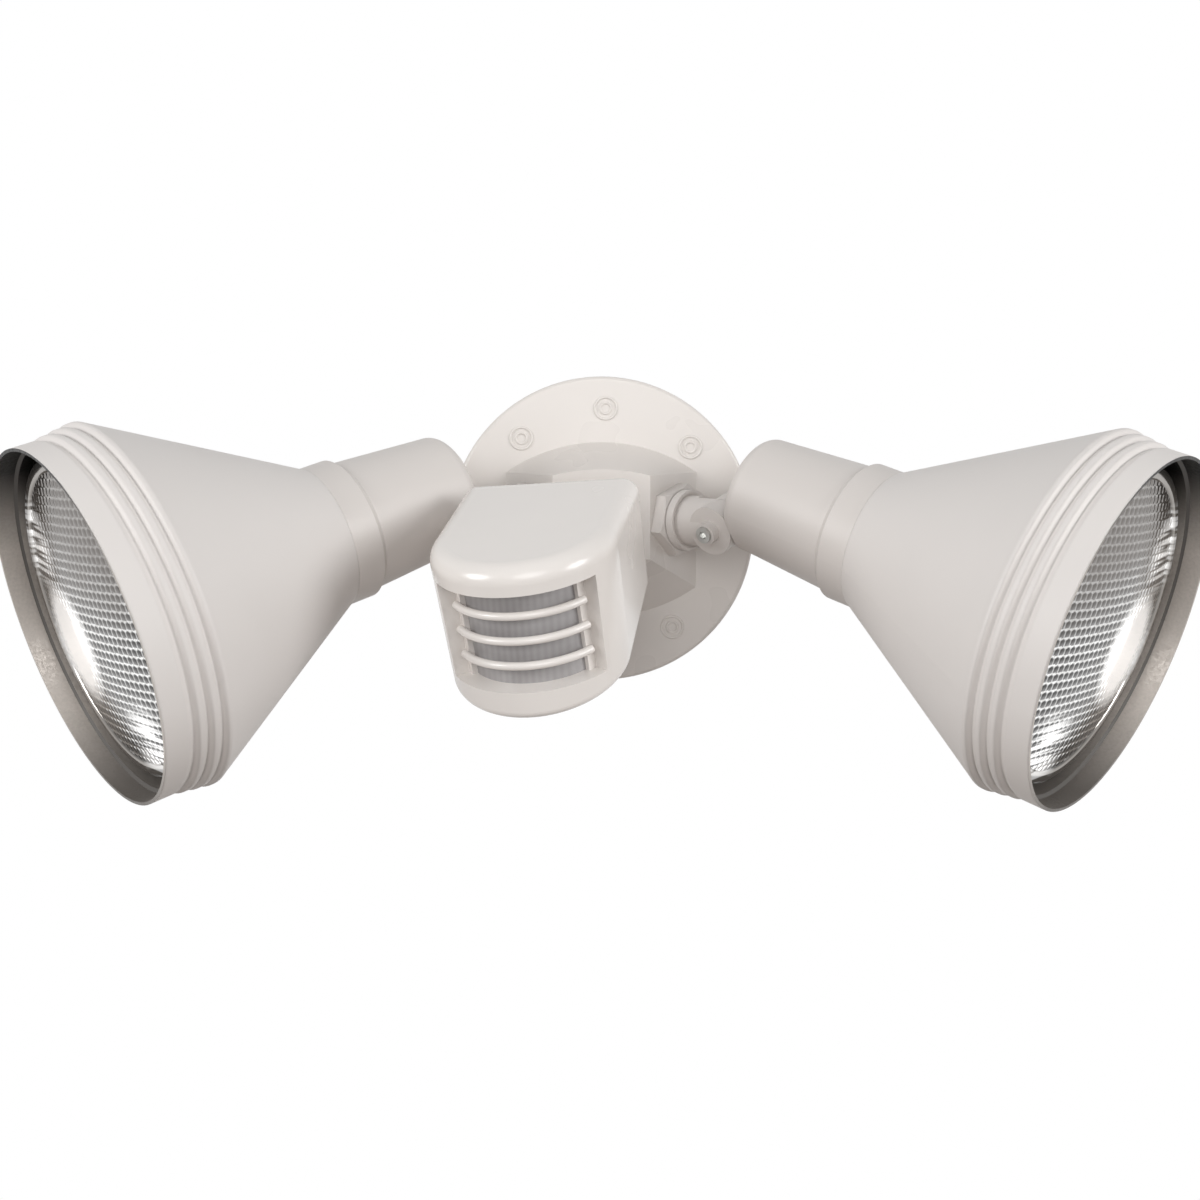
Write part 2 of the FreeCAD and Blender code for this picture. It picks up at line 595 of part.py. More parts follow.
def socket_parts(word, place):
    floor = "(socket_start + socket_floor)"
    cup = turned(word + "_socket_turn", [
        ("contact_radius * 0.5", "socket_start"), ("socket_radius", "socket_start"),
        ("socket_radius", "socket_start + socket_long"),
        ("shell_radius + screw_gap", "socket_start + socket_long"),
        ("shell_radius + screw_gap", floor), ("contact_radius * 0.5", floor)])
    keep(cup, word + "_socket_body", place)
    sleeve = tube(word + "_shell_turn", "shell_radius", "shell_radius - shell_wall",
                  floor + " + 0.5", floor + " + 0.5 + shell_long")
    keep(sleeve, word + "_screw_shell", place)
    stud = turned(word + "_stud_turn", [
        ("0", "socket_start - 1"), ("contact_radius * 0.5 - screw_gap", "socket_start - 1"),
        ("contact_radius * 0.5 - screw_gap", floor), ("contact_radius", floor),
        ("contact_radius", floor + " + contact_tall - 1"),
        ("contact_radius * 0.5", floor + " + contact_tall"), ("0", floor + " + contact_tall")])
    keep(stud, word + "_centre_contact", place)
    end = "(holder_long + collar_long)"
    seal = tube(word + "_seal_turn", "collar_radius - holder_wall - screw_gap",
                "lamp_neck + seal_gap", end + " - seal_long", end)
    keep(seal, word + "_lamp_seal", place)


def shade(word, place):
    """Spun cone with a seat behind, rolled ribs round its wide end and a plain lip."""
    start = "(holder_long + collar_long)"
    outer = [("collar_radius", start), ("shade_wide", "shade_cone_end")]
    for rib in range(int(value("rib_count"))):
        crest = "shade_cone_end + rib_pitch * %d" % rib
        fall = "(shade_wide - lip_radius) * %d / rib_count" % (rib + 1)
        top = "shade_wide - (shade_wide - lip_radius) * %d / rib_count" % rib
        if rib:
            outer.append((top, crest + " - rib_pitch * 0.15"))
        outer.append((top, crest + " + rib_pitch * 0.25"))
        outer.append(("shade_wide - %s - rib_deep" % fall, crest + " + rib_pitch * 0.55"))
    ribs_end = "shade_cone_end + rib_pitch * rib_count"
    outer.append(("lip_radius", ribs_end))
    outer.append(("lip_radius", "lip_end"))
    slope = "(shade_wide - collar_radius) / (shade_cone_end - %s)" % start
    thin = "shade_wall * sqrt(1 + (%s)^2)" % slope
    lip_in = "lip_radius - rib_deep - shade_wall"
    wide_in = "shade_wide - " + thin
    inner = [("lip_radius - shade_wall", "lip_end"), ("lip_radius - shade_wall", ribs_end + " + 1"),
             (lip_in, ribs_end), (lip_in, "shade_cone_end + 0.5"), (wide_in, "shade_cone_end - 1"),
             ("collar_radius + shade_seat * %s - %s" % (slope, thin), start + " + shade_seat"),
             ("shade_hole", start + " + shade_seat"), ("shade_hole", start)]
    keep(turned(word + "_shade_turn", outer + inner), word + "_shade", place)


def lamp(word, place):
    """Sealed reflector lamp: prismatic front glass, silvered bowl, screw cap and burner."""
    band = "(lamp_rim_at - lamp_band)"
    bowl = []
    steps = 6
    for step in range(steps + 1):
        radius = "(lamp_neck + (lamp_rim - lamp_neck) * %d / %d)" % (step, steps)
        depth = "(lamp_neck_at + (%s - lamp_neck_at) * (%s^2 - lamp_neck^2) / (lamp_rim^2 - lamp_neck^2))"
        bowl.append((radius, depth % (band, radius)))
    outer = bowl + [("lamp_rim", "lamp_rim_at - lens_edge")]
    inner = [(radius + " - glass_wall", "%s + glass_wall * 0.6" % depth)
             for radius, depth in reversed(bowl)]
    inner = [("lamp_rim - glass_wall", "lamp_rim_at - lens_edge")] + inner
    inner.append(("lamp_neck - glass_wall", "lamp_neck_at"))
    keep(turned(word + "_bowl_turn", outer + inner), word + "_lamp_reflector", place)
    chord = "((lamp_rim - 5)^2 + lens_dome^2)"
    bow = "%s / (2 * lens_dome) * (1 - sqrt(1 - lens_dome^2 / %s))" % (chord, chord)
    behind = "(lamp_rim_at - lens_edge)"
    front = turned(word + "_lens_turn", [
        ("0", behind), ("lamp_rim", behind), ("lamp_rim", "lamp_rim_at - 1"),
        ("lamp_rim - 1", "lamp_rim_at"), ("lamp_rim - 5", "lamp_rim_at"),
        ("0", "lamp_rim_at + lens_dome")], {4: bow})
    keep(front, word + "_lamp_lens", place)
    tip = "(socket_start + socket_floor + contact_tall + 0.1)"
    cap = turned(word + "_cap_turn", [
        ("0", tip), ("tip_radius * 0.7", tip), ("tip_radius", tip + " + tip_long"),
        ("cap_radius - 3", tip + " + tip_long + 1.5"), ("cap_radius", tip + " + tip_long + 4"),
        ("cap_radius", tip + " + cap_long"), ("lamp_neck", tip + " + cap_long + 7"),
        ("lamp_neck", "lamp_neck_at"), ("0", "lamp_neck_at")])
    keep(cap, word + "_lamp_cap", place)
    foot = "lamp_neck_at"
    pod = turned(word + "_burner_turn", [
        ("0", foot), ("burner_radius + 2", foot), ("burner_radius + 2", foot + " + burner_foot"),
        ("burner_radius", foot + " + burner_foot"), ("burner_radius", foot + " + burner_long - 5"),
        ("burner_radius * 0.35", foot + " + burner_long"), ("0", foot + " + burner_long")])
    keep(pod, word + "_lamp_burner", place)


def lamp_head(word, side):
    lampholder(word, side)
    place = lamp_placement(side)
    socket_parts(word, place)
    shade(word, place)
    lamp(word, place)


# ---- sensor head -------------------------------------------------------------------------------

FLOOR_TILT = math.degrees(math.atan(value("sense_fall")))


def rim_edges(shape, upward):
    """Names of the edges round the top or bottom face, without the straight one at the back."""
    def height(face):
        return face.normalAt(0, 0).z if upward else -face.normalAt(0, 0).z
    flat = max(shape.Faces, key=lambda face: height(face) * face.Area)
    names = []
    for number, edge in enumerate(shape.Edges, start=1):
        straight_back = edge.BoundBox.YLength < 1e-4
        if not straight_back and any(edge.isSame(other) for other in flat.Edges):
            names.append("Edge%d" % number)
    return names


def back_corners(shape):
    """Names of the two upright edges at the back."""
    names = []
    for number, edge in enumerate(shape.Edges, start=1):
        box = edge.BoundBox
        at_back = abs(box.YMax - shape.BoundBox.YMax) < 1e-4
        if at_back and box.ZLength > 10 and box.YLength < box.ZLength / 10:
            names.append("Edge%d" % number)
    return names


def rounded(body, name, base, edges, radius):
    fillet = body.newObject("PartDesign::Fillet", name)
    fillet.Base = (base, edges)
    bind(fillet, Radius=radius)
    doc.recompute()
    return fillet


def head_block(name, inset, corner, brow, edge):
    """The head's block, drafted and rounded; inset makes the room inside it."""
    body = new_body(name)
    half = "(sense_half - %s)" % inset
    straight = "(sense_long - sense_half)"
    plan = outline(body, name + "_plan", "XY_Plane",
                   [("-" + half, "-" + straight), (half, "-" + straight), (half, "-" + inset),
                    ("-" + half, "-" + inset)], {0: half}, "-(%s)" % inset)
    pad = body.newObject("PartDesign::Pad", name + "_pad")
    pad.Profile = plan
    pad.Reversed = True
    bind(pad, Length="sense_back + sense_fall * sense_long + 10", TaperAngle="-sense_draft")
    doc.recompute()
    floor = "(sense_back - %s * sqrt(1 + sense_fall^2))" % inset
    reach, deep = "(2 * sense_long)", "(4 * sense_back)"
    below_floor = outline(body, name + "_below", "YZ_Plane",
                          [("10", "-%s + sense_fall * 10" % floor),
                           ("-" + reach, "-%s - sense_fall * %s" % (floor, reach)),
                           ("-" + reach, "-" + deep), ("10", "-" + deep)])
    trim = body.newObject("PartDesign::Pocket", name + "_trim")
    trim.Profile = below_floor
    trim.Midplane = True
    bind(trim, Length="6 * sense_half")
    doc.recompute()
    done = rounded(body, name + "_corners", trim, back_corners(trim.Shape), corner)
    done = rounded(body, name + "_brow", done, rim_edges(done.Shape, True), brow)
    rounded(body, name + "_edge", done, rim_edges(done.Shape, False), edge)
    return body


def sector(name, outer, inner, half_angle, top, low):
    """Part of a ring round the head's front curve, from -half_angle to half_angle."""
    pieces = []
    for word, radius in (("outer", outer), ("inner", inner)):
        pie = doc.addObject("Part::Cylinder", "%s_%s" % (name, word))
        bind(pie, Radius=radius, Height="(%s) - (%s)" % (low, top), Angle="2 * (%s)" % half_angle)
        turn = Rotation(Vector(0, 0, 1), -90 - value(half_angle))
        pie.Placement = Placement(Vector(0, -value("sense_long - sense_half"), -value(low)), turn)
        pieces.append(pie)
    return minus(name, pieces[0], pieces[1])


def floor_spot(side):
    """Where a setting knob stands on the sloping floor, its Z square to the floor."""
    at = value("dial_at")
    return Placement(Vector(side * value("dial_side"), -at, -value("sense_back + sense_fall * dial_at")),
                     Rotation(Vector(1, 0, 0), FLOOR_TILT))


def sensor_shells(room):
    """The whole shell with its window frame, recess, bars and holes, before it is parted."""
    outer = head_block("head_outer", "0", "sense_corner", "sense_brow", "sense_edge")
    limit = head_block("head_limit", "0", "sense_corner", "sense_brow", "sense_edge")
    hollow = minus("head_hollow", outer, room)
    frame_ring = sector("frame_block", "sense_half + 4", "frame_radius - frame_wall",
                        "recess_half + 4", "recess_top - 2", "recess_low + 2")
    frame = within("frame_inside", frame_ring, limit)
    solid = joined("head_solid", [hollow, frame])
    recess = sector("recess", "sense_half + 8", "frame_radius", "recess_half", "recess_top",
                    "recess_low")
    window = sector("window", "frame_radius + 1", "frame_radius - frame_wall - 1", "window_half",
                    "window_top", "window_low")
    cuts = [recess, window]
    for word, side in SIDES:
        spot = floor_spot(side)
        up = spot.Rotation.multVec(Vector(0, 0, 1))
        cuts.append(drum("spindle_hole_" + word, "spindle_radius + run_gap", "3 * sense_wall",
                         spot.Base - up * value("sense_wall"), up))
    opened = minus("head_opened", solid, joined("head_cuts", cuts))
    bars = []
    for number in range(int(value("bar_count"))):
        bar = doc.addObject("Part::Torus", "bar_%d" % number)
        bind(bar, Radius1="bar_reach", Radius2="bar_radius", Angle3="2 * bar_half")
        bar.Placement = Placement(Vector(0, -value("sense_long - sense_half"),
                                         -value("bar_top + bar_pitch * %d" % number)),
                                  Rotation(Vector(0, 0, 1), -90 - value("bar_half")))
        bars.append(bar)
    return joined("head_whole", [opened] + bars)


def seam_block():
    """Everything behind and below the seam between hood and rear cover."""
    body = new_body("seam")
    profile = outline(body, "seam_line", "YZ_Plane",
                      [("20", "-seam_down"), ("-seam_run", "-seam_dip"),
                       ("-seam_foot - 10", "-seam_foot - 22.5"), ("20", "-seam_foot - 22.5")])
    pad = body.newObject("PartDesign::Pad", "seam_pad")
    pad.Profile = profile
    pad.Midplane = True
    bind(pad, Length="6 * sense_half")
    doc.recompute()
    return body


def rear_cover(shell, room, place):
    """Rear and lower part of the head with its half knuckle on a neck and two board posts."""
    shapes = [shell]
    for word, side in SIDES:
        shapes.append(drum("post_" + word, "post_radius", "board_at - sense_wall / 2",
                           Vector(side * value("post_side"), -value("sense_wall / 2"),
                                  -value("post_down")), Vector(0, -1, 0)))
    frame = place.inverse().multiply(sensor_arm_placement())
    pivot = frame.multVec(Vector(0, 0, value("sense_reach")))
    across = frame.Rotation.multVec(Vector(1, 0, 0))
    near = value("face_gap")
    shapes.append(drum("sensor_lug_disc", "sense_cheek", "sense_cheek_half - face_gap",
                       pivot - across * near, -across))
    toward_wall = Vector(0, -value("sense_wall / 2"), -value("neck_down")) - pivot
    toward_wall = toward_wall - across * toward_wall.dot(across)
    into = Vector(toward_wall).normalize()
    turn = axes(across, into)
    low = Vector(-value("sense_cheek_half"), -value("sense_cheek"), 0)
    web = block("sensor_neck_bar", "sense_cheek_half - face_gap", "2 * sense_cheek",
                "%s + sense_cheek" % toward_wall.Length, pivot + turn.multVec(low), turn)
    shapes.append(minus("sensor_neck", web, room))
    solid = joined("rear_solid", shapes)
    hole = drum("sensor_lug_hole", "sense_pivot + run_gap", "6 * sense_cheek_half",
                pivot - across * value("3 * sense_cheek_half"), across)
    keep(minus("rear", solid, hole), "sensor_rear_cover", place)


def placed_by(place, thing):
    return place.multiply(thing.Placement)


def sensor_inside(place):
    """Lens film, circuit board and what is soldered to it."""
    lens = sector("sensor_lens_ring", "frame_radius - frame_wall - 0.02",
                  "frame_radius - frame_wall - lens_wall", "window_half + 4",
                  "window_top - lens_lap", "window_low + lens_lap")
    keep(lens, "sensor_lens", place)
    board_y = -value("board_at + board_thick")
    board = block("board_plate", "board_wide", "board_thick", "board_tall",
                  Vector(-value("board_wide / 2"), board_y, -value("board_top + board_tall")))
    keep(board, "circuit_board", placed_by(place, board))
    can = drum("pir_can", "pir_radius", "pir_long", Vector(0, board_y, -value("pir_down")),
               Vector(0, -1, 0))
    keep(can, "infrared_element", placed_by(place, can))
    cell = drum("cell_can", "cell_radius", "pir_long",
                Vector(value("cell_side"), board_y, -value("pir_down + cell_drop")),
                Vector(0, -1, 0))
    keep(cell, "photocell", placed_by(place, cell))
    relay = block("relay_box", "relay_wide", "relay_deep", "relay_tall",
                  Vector(-value("relay_wide / 2"), -value("board_at"),
                         -value("board_top + relay_tall")))
    keep(relay, "relay", placed_by(place, relay))
    screws = []
    for word, side in SIDES:
        screws.append(drum("board_screw_" + word, "post_radius", "1.2",
                           Vector(side * value("post_side"), board_y, -value("post_down")),
                           Vector(0, -1, 0)))
    keep(joined("board_screws_solid", screws), "board_screws", place)


def dials(place):
    """Two setting knobs under the head, each on a spindle into its own potentiometer."""
    pots = []
    for label, side in (("time_dial", 1), ("light_dial", -1)):
        knob = turned(label + "_turn", [
            ("0", "-0.4 - dial_tall"), ("dial_radius - 0.6", "-0.4 - dial_tall"),
            ("dial_radius", "-1 - dial_tall + 0.6"), ("dial_radius", "-0.4"),
            ("spindle_radius", "-0.4"), ("spindle_radius", "spindle_long"),
            ("0", "spindle_long")])
        groove = block(label + "_groove", "dial_radius * 1.5", "1.2", "1.2",
                       Vector(-value("dial_radius * 0.3"), -0.6, -value("0.4 + dial_tall")))
        spot = floor_spot(side)
        keep(minus(label + "_solid", knob, groove), label, place.multiply(spot))
        case_at = Vector(-value("pot_wide / 2"), -value("pot_wide / 2"), value("sense_wall + 0.05"))
        case = block(label + "_pot", "pot_wide", "pot_wide", "pot_tall",
                     spot.multVec(case_at), spot.Rotation)
        up = spot.Rotation.multVec(Vector(0, 0, 1))
        bore = drum(label + "_pot_bore", "spindle_radius + run_gap", "pot_tall + 2",
                    spot.multVec(Vector(0, 0, value("sense_wall") - 1)), up)
        pots.append(minus(label + "_pot_solid", case, bore))
    keep(joined("pots_solid", pots), "potentiometers", place)


def sensor_head():
    place = sensor_placement()
    room = head_block("head_room", "sense_wall", "sense_corner - sense_wall",
                      "sense_brow - sense_wall", "sense_edge / 2")
    whole = sensor_shells(room)
    behind = seam_block()
    keep(minus("hood", whole, behind), "sensor_hood", place)
    rear_cover(within("rear_shell", whole, behind), room, place)
    sensor_inside(place)
    dials(place)


def sensor_arm():
    place = sensor_arm_placement()
    hex_nut("sensor_nut", "sensor_lock_nut", "sense_nut_flats", "sense_nut_thick",
            "sense_stem + run_gap", place)
    knuckle_arm("sensor_arm_solid", "sensor_arm_knuckle", SENSOR_ARM, 1, place)
    tail = tube("sensor_tail", "sense_tail_nut", "sense_stem + screw_gap", "0",
                "sense_tail_thick")
    keep(tail, "sensor_stem_nut",
         below(place, value("hub_wall + hub_pad + sense_tail_thick + tail_gap")))
    knuckle_screw("sensor_pivot_screw", "sensor_knuckle_screw", SENSOR_ARM, 1, place)


def build():
    wall_gasket()
    canopy_cover()
    mounting_strap()
    cover_screws()
    for word, side in SIDES:
        lamp_arm(word, side)
        lamp_head(word, side)
    sensor_arm()
    sensor_head()
    doc.recompute()


def check():
    """Stop unless every object came out whole and every sub-part is one valid shape or group."""
    for thing in doc.Objects:
        faults = [word for word in thing.State if word in ("Invalid", "Error")]
        if faults:
            raise RuntimeError("%s is %s" % (thing.Label, faults))
    for thing in parts:
        if thing.Shape.isNull() or not thing.Shape.isValid() or not thing.Shape.Solids:
            raise RuntimeError("%s has no valid solid" % thing.Label)


def write():
    os.makedirs("parts", exist_ok=True)
    for thing in parts:
        thing.Shape.exportStep(os.path.join("parts", thing.Label + ".step"))
        print("%-24s %2d solids %10.1f mm3" % (thing.Label, len(thing.Shape.Solids),
                                               thing.Shape.Volume))


build()
check()
write()
print("sub-parts:", len(parts))
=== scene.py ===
# %% [markdown]
# # A security light with two lamps and a motion sensor
# The real light hangs on an outside wall. A round white cover carries two swivelling
# lampholders with flared shades, and between them hangs a small sensor head. The solid
# model already has every shape at its real size, so this script loads it as a fixed frame
# and gives it finishes, the stippled lamp faces, light and a camera.

# %% Load the frame
import bmesh
import bpy
import json
import math
from mathutils import Matrix, Vector


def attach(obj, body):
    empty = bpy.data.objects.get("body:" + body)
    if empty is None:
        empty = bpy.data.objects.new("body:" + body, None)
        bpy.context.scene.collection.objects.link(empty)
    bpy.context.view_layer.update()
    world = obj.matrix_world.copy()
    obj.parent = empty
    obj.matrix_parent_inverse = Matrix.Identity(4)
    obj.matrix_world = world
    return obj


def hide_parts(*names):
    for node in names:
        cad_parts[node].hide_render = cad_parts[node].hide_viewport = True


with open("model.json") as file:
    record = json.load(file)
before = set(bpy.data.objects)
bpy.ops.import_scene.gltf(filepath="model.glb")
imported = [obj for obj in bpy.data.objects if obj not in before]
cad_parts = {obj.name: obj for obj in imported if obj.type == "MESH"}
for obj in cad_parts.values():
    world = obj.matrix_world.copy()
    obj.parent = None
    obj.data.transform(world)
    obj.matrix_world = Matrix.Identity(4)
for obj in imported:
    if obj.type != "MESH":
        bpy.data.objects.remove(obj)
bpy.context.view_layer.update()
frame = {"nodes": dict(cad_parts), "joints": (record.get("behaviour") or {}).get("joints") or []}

# %% [markdown]
# ## Where each lamp looks
# Each head is turned its own way, so nothing on it lines up with the world's axes. The lamp
# slides straight out of its shade, and that sliding direction is the axis of everything
# round on the head. Two more directions across it, level and upright, make a small frame
# of its own in which a round piece is easy to draw.

# %% The heads' own directions
MM = 0.001
UP = Vector((0, 0, 1))
SIDES = ("right", "left")


def joint_axis(name):
    """The direction that a joint of the frame turns about or slides along."""
    return Vector(next(j for j in frame["joints"] if j["name"] == name)["axis"]).normalized()


def head_directions(side):
    """Out of the shade, level and away from the middle of the light, and up across the face."""
    out = joint_axis(side + "_lamp_out")
    level = out.cross(UP).normalized()
    if level.x * out.x > 0:
        level.negate()
    rise = level.cross(out).normalized()
    if rise.z < 0:
        rise.negate()
    return out, -level, rise


def centre_and_reach(node, along):
    """The middle of a round node, and how far it reaches along its axis at both ends."""
    points = [v.co for v in frame["nodes"][node].data.vertices]
    middle = sum(points, Vector()) / len(points)
    reach = [p.dot(along) for p in points]
    return middle, min(reach), max(reach)


def from_axis(point, centre, axis):
    """The straight way from an axis through the centre out to a point."""
    way = point - centre
    return way - axis * way.dot(axis)


for side in SIDES:
    print(side, "head looks along", [round(c, 3) for c in head_directions(side)[0]])

# %% [markdown]
# ## Node helpers
# Most finishes below are a Principled shader with a little noise in the bump, the roughness
# and the colour, because no real surface is perfectly even. A constant stays on the
# shader's own socket. Only what changes over the surface is linked.

# %% Small helpers for material nodes


def new_finish(name):
    """A new Principled material, with its nodes and links."""
    material = bpy.data.materials.new(name)
    material.use_nodes = True
    return material, material.node_tree.nodes, material.node_tree.links


def object_noise(nodes, links, scale, detail=2.0):
    """Noise that is fixed to the piece, so it doesn't slide when the piece moves."""
    place = nodes.new("ShaderNodeTexCoord")
    noise = nodes.new("ShaderNodeTexNoise")
    noise.inputs["Scale"].default_value = scale
    noise.inputs["Detail"].default_value = detail
    links.new(place.outputs["Object"], noise.inputs["Vector"])
    return noise.outputs["Fac"]


def spread(nodes, links, source, low, high, start=0.3, end=0.7):
    """A number from low to high as the source goes from start to end."""
    node = nodes.new("ShaderNodeMapRange")
    node.inputs["From Min"].default_value = start
    node.inputs["From Max"].default_value = end
    node.inputs["To Min"].default_value = low
    node.inputs["To Max"].default_value = high
    links.new(source, node.inputs["Value"])
    return node.outputs["Result"]


def mixed(nodes, links, source, first, second):
    """Two colours, each a socket or three numbers, mixed by a source."""
    node = nodes.new("ShaderNodeMix")
    node.data_type = "RGBA"
    node.clamp_factor = True
    for socket, given in ((node.inputs["A"], first), (node.inputs["B"], second)):
        if isinstance(given, bpy.types.NodeSocket):
            links.new(given, socket)
        else:
            socket.default_value = (*given, 1)
    links.new(source, node.inputs["Factor"])
    return node.outputs["Result"]


def bump(nodes, links, height, strength, depth):
    """Relief that only the light sees, following a height."""
    node = nodes.new("ShaderNodeBump")
    node.inputs["Strength"].default_value = strength
    node.inputs["Distance"].default_value = depth
    links.new(height, node.inputs["Height"])
    return node.outputs["Normal"]


# %% [markdown]
# ## One recipe for most finishes
# Plastic, paint, metal and rubber differ only in a few numbers, so one function makes them
# all. A pressed rib has no knife edge, and a soft edge lets light run round it.

# %% The common finish
COAT_ROUGHNESS = 0.08
GRAIN_DETAIL = 3.0


def surface(name, colour, rough, metal=0.0, coat=0.0, grain=(900.0, 0.15, 0.05 * MM),
            shade_by=0.03, rough_by=0.06, mottle=35.0, soft_edge=0.0):
    """A moulded, painted or metal finish: colour and roughness vary a little, with a fine grain."""
    material, nodes, links = new_finish(name)
    shader = nodes["Principled BSDF"]
    shader.inputs["Metallic"].default_value = metal
    shader.inputs["Coat Weight"].default_value = coat
    shader.inputs["Coat Roughness"].default_value = COAT_ROUGHNESS
    cloud = object_noise(nodes, links, mottle)
    darker = [c * (1 - shade_by) for c in colour]
    links.new(mixed(nodes, links, cloud, darker, colour), shader.inputs["Base Color"])
    links.new(spread(nodes, links, cloud, rough - rough_by, rough + rough_by),
              shader.inputs["Roughness"])
    scale, strength, depth = grain
    fine = object_noise(nodes, links, scale, GRAIN_DETAIL)
    normal = bump(nodes, links, fine, strength, depth)
    links.new(normal, shader.inputs["Normal"])
    if soft_edge:
        rounded = nodes.new("ShaderNodeBevel")
        rounded.inputs["Radius"].default_value = soft_edge
        links.new(rounded.outputs["Normal"], normal.node.inputs["Normal"])
    return material


def colour_by_height(material, colour, low, high, start, end):
    """Lay a second colour over a finish, from low to high as the piece goes up."""
    nodes, links = material.node_tree.nodes, material.node_tree.links
    place = nodes.new("ShaderNodeTexCoord")
    height = nodes.new("ShaderNodeSeparateXYZ")
    links.new(place.outputs["Object"], height.inputs["Vector"])
    share = spread(nodes, links, height.outputs["Z"], low, high, start, end)
    base = nodes["Principled BSDF"].inputs["Base Color"]
    under = base.links[0].from_socket
    links.new(mixed(nodes, links, share, under, colour), base)


def dress(material, *names):
    """Give CAD nodes one finish on every face."""
    for name in names:
        data = frame["nodes"][name].data
        data.materials.clear()
        data.materials.append(material)


def each_side(*names):
    """The names of the same pieces on both heads."""
    return ["%s_%s" % (side, name) for side in SIDES for name in names]


# %% [markdown]
# ## White plastic and white paint
# The cover and the sensor are moulded in glossy warm white, with a skin so smooth that it
# shows soft highlights. Their white is given in two tones, lighter on the sensor, as painted
# light. The lampholders, arms and shades are metal under a powder coat, which is a little
# greyer and has the faint orange-peel of baked powder. The coat is given in two tones too,
# lighter on the shades than on the lampholders and arms, as painted light and shade. The
# lowest part of the shades is painted darker, as painted shade.

# %% White finishes
# Two tones of one white plastic, and two of one coat: painted light and painted shade.
COVER_WHITE = (0.735, 0.695, 0.66)
GLOSS_WHITE = (0.79, 0.75, 0.715)
COAT_WHITE = (0.69, 0.65, 0.62)
# The shades' colour goes darker toward their lowest part: painted shade.
SHADE_WHITE, PAINTED_UNDER_SHADE = (0.76, 0.725, 0.70), (0.42, 0.385, 0.355)
UNDER_SHADE_MOST, UNDER_SHADE_LOWEST, UNDER_SHADE_ENDS = 0.6, -115 * MM, -45 * MM
MOULDED_GRAIN = (260.0, 0.05, 0.05 * MM)
BAKED_GRAIN = (1500.0, 0.22, 0.06 * MM)

white_cover = surface("white_cover_plastic", COVER_WHITE, 0.30, coat=0.2,
                      grain=MOULDED_GRAIN, shade_by=0.02, rough_by=0.04)
white_gloss = surface("white_gloss_plastic", GLOSS_WHITE, 0.24, coat=0.25,
                      grain=MOULDED_GRAIN, shade_by=0.02, rough_by=0.04)
white_coat = surface("white_powder_coat", COAT_WHITE, 0.46,
                     grain=BAKED_GRAIN, shade_by=0.035, rough_by=0.05)
white_shade = surface("white_shade_coat", SHADE_WHITE, 0.52, soft_edge=1.6 * MM,
                      grain=BAKED_GRAIN, shade_by=0.035, rough_by=0.05)
# Darker toward the bottom of the shades, as painted shade.
colour_by_height(white_shade, PAINTED_UNDER_SHADE, UNDER_SHADE_MOST, 0.0, UNDER_SHADE_LOWEST, UNDER_SHADE_ENDS)

dress(white_cover, "canopy_cover", "screw_plug")
dress(white_gloss, "sensor_hood", "sensor_rear_cover", "time_dial", "light_dial")
dress(white_coat, "right_lock_nut", "left_lock_nut", "sensor_lock_nut",
      "sensor_arm_knuckle", *each_side("arm_knuckle", "lampholder"))
dress(white_shade, *each_side("shade"))
print("materials after the white finishes:", len(bpy.data.materials))

# %% [markdown]
# ## Metal, rubber and the parts inside
# The fixing parts are zinc-plated steel, the lamp caps are bright aluminium, the socket
# is glazed ceramic with brass contacts, and the seals are black rubber.

# %% Other finishes
zinc = surface("zinc_steel", (0.60, 0.60, 0.58), 0.30, metal=1.0, shade_by=0.12)
green = surface("green_screw", (0.05, 0.24, 0.09), 0.35, metal=0.6, shade_by=0.15)
rubber = surface("black_rubber", (0.028, 0.028, 0.028), 0.72, shade_by=0.2)
ceramic = surface("socket_ceramic", (0.74, 0.72, 0.68), 0.18, coat=0.5)
brass = surface("brass_contact", (0.72, 0.52, 0.22), 0.28, metal=1.0, shade_by=0.15)
cap_metal = surface("lamp_cap_metal", (0.72, 0.72, 0.71), 0.26, metal=1.0, shade_by=0.1)
silvering = surface("lamp_silvering", (0.86, 0.86, 0.85), 0.12, metal=1.0, shade_by=0.04)
burner_glass = surface("clear_glass", (0.85, 0.88, 0.9), 0.05)
board = surface("board_green", (0.03, 0.16, 0.07), 0.42, shade_by=0.25, mottle=220.0)
can = surface("can_metal", (0.70, 0.70, 0.69), 0.22, metal=1.0)
cell = surface("cell_red", (0.42, 0.16, 0.06), 0.40, shade_by=0.3, mottle=900.0)
relay = surface("relay_blue", (0.03, 0.07, 0.22), 0.38)

dress(zinc, "mounting_strap", "centre_screw", "sensor_stem_nut", "sensor_knuckle_screw",
      "board_screws", *each_side("stem_nut", "knuckle_screw"))
dress(green, "ground_screw")
dress(rubber, "wall_gasket", *each_side("lamp_seal"))
dress(ceramic, *each_side("socket_body"))
dress(brass, *each_side("screw_shell", "centre_contact"))
dress(cap_metal, *each_side("lamp_cap"))
dress(silvering, *each_side("lamp_reflector"))
dress(burner_glass, *each_side("lamp_burner"))
dress(board, "circuit_board")
dress(can, "infrared_element")
dress(cell, "photocell")
dress(relay, "relay", "potentiometers")
print("materials after the metal and rubber ones:", len(bpy.data.materials))

# %% [markdown]
# ## The bare metal inside each shade
# A shade is spun from sheet and painted on the outside only. Inside, and on the cut edge
# of the lip, the raw metal shows with a sandy grain. Its colour goes almost black toward
# the top and darker toward the bottom, as painted shade between the lamp and the shade.
# The step behind the lip is painted near-black all round, as painted shade. These faces
# get material slots of their own, and the mesh stays as it is.

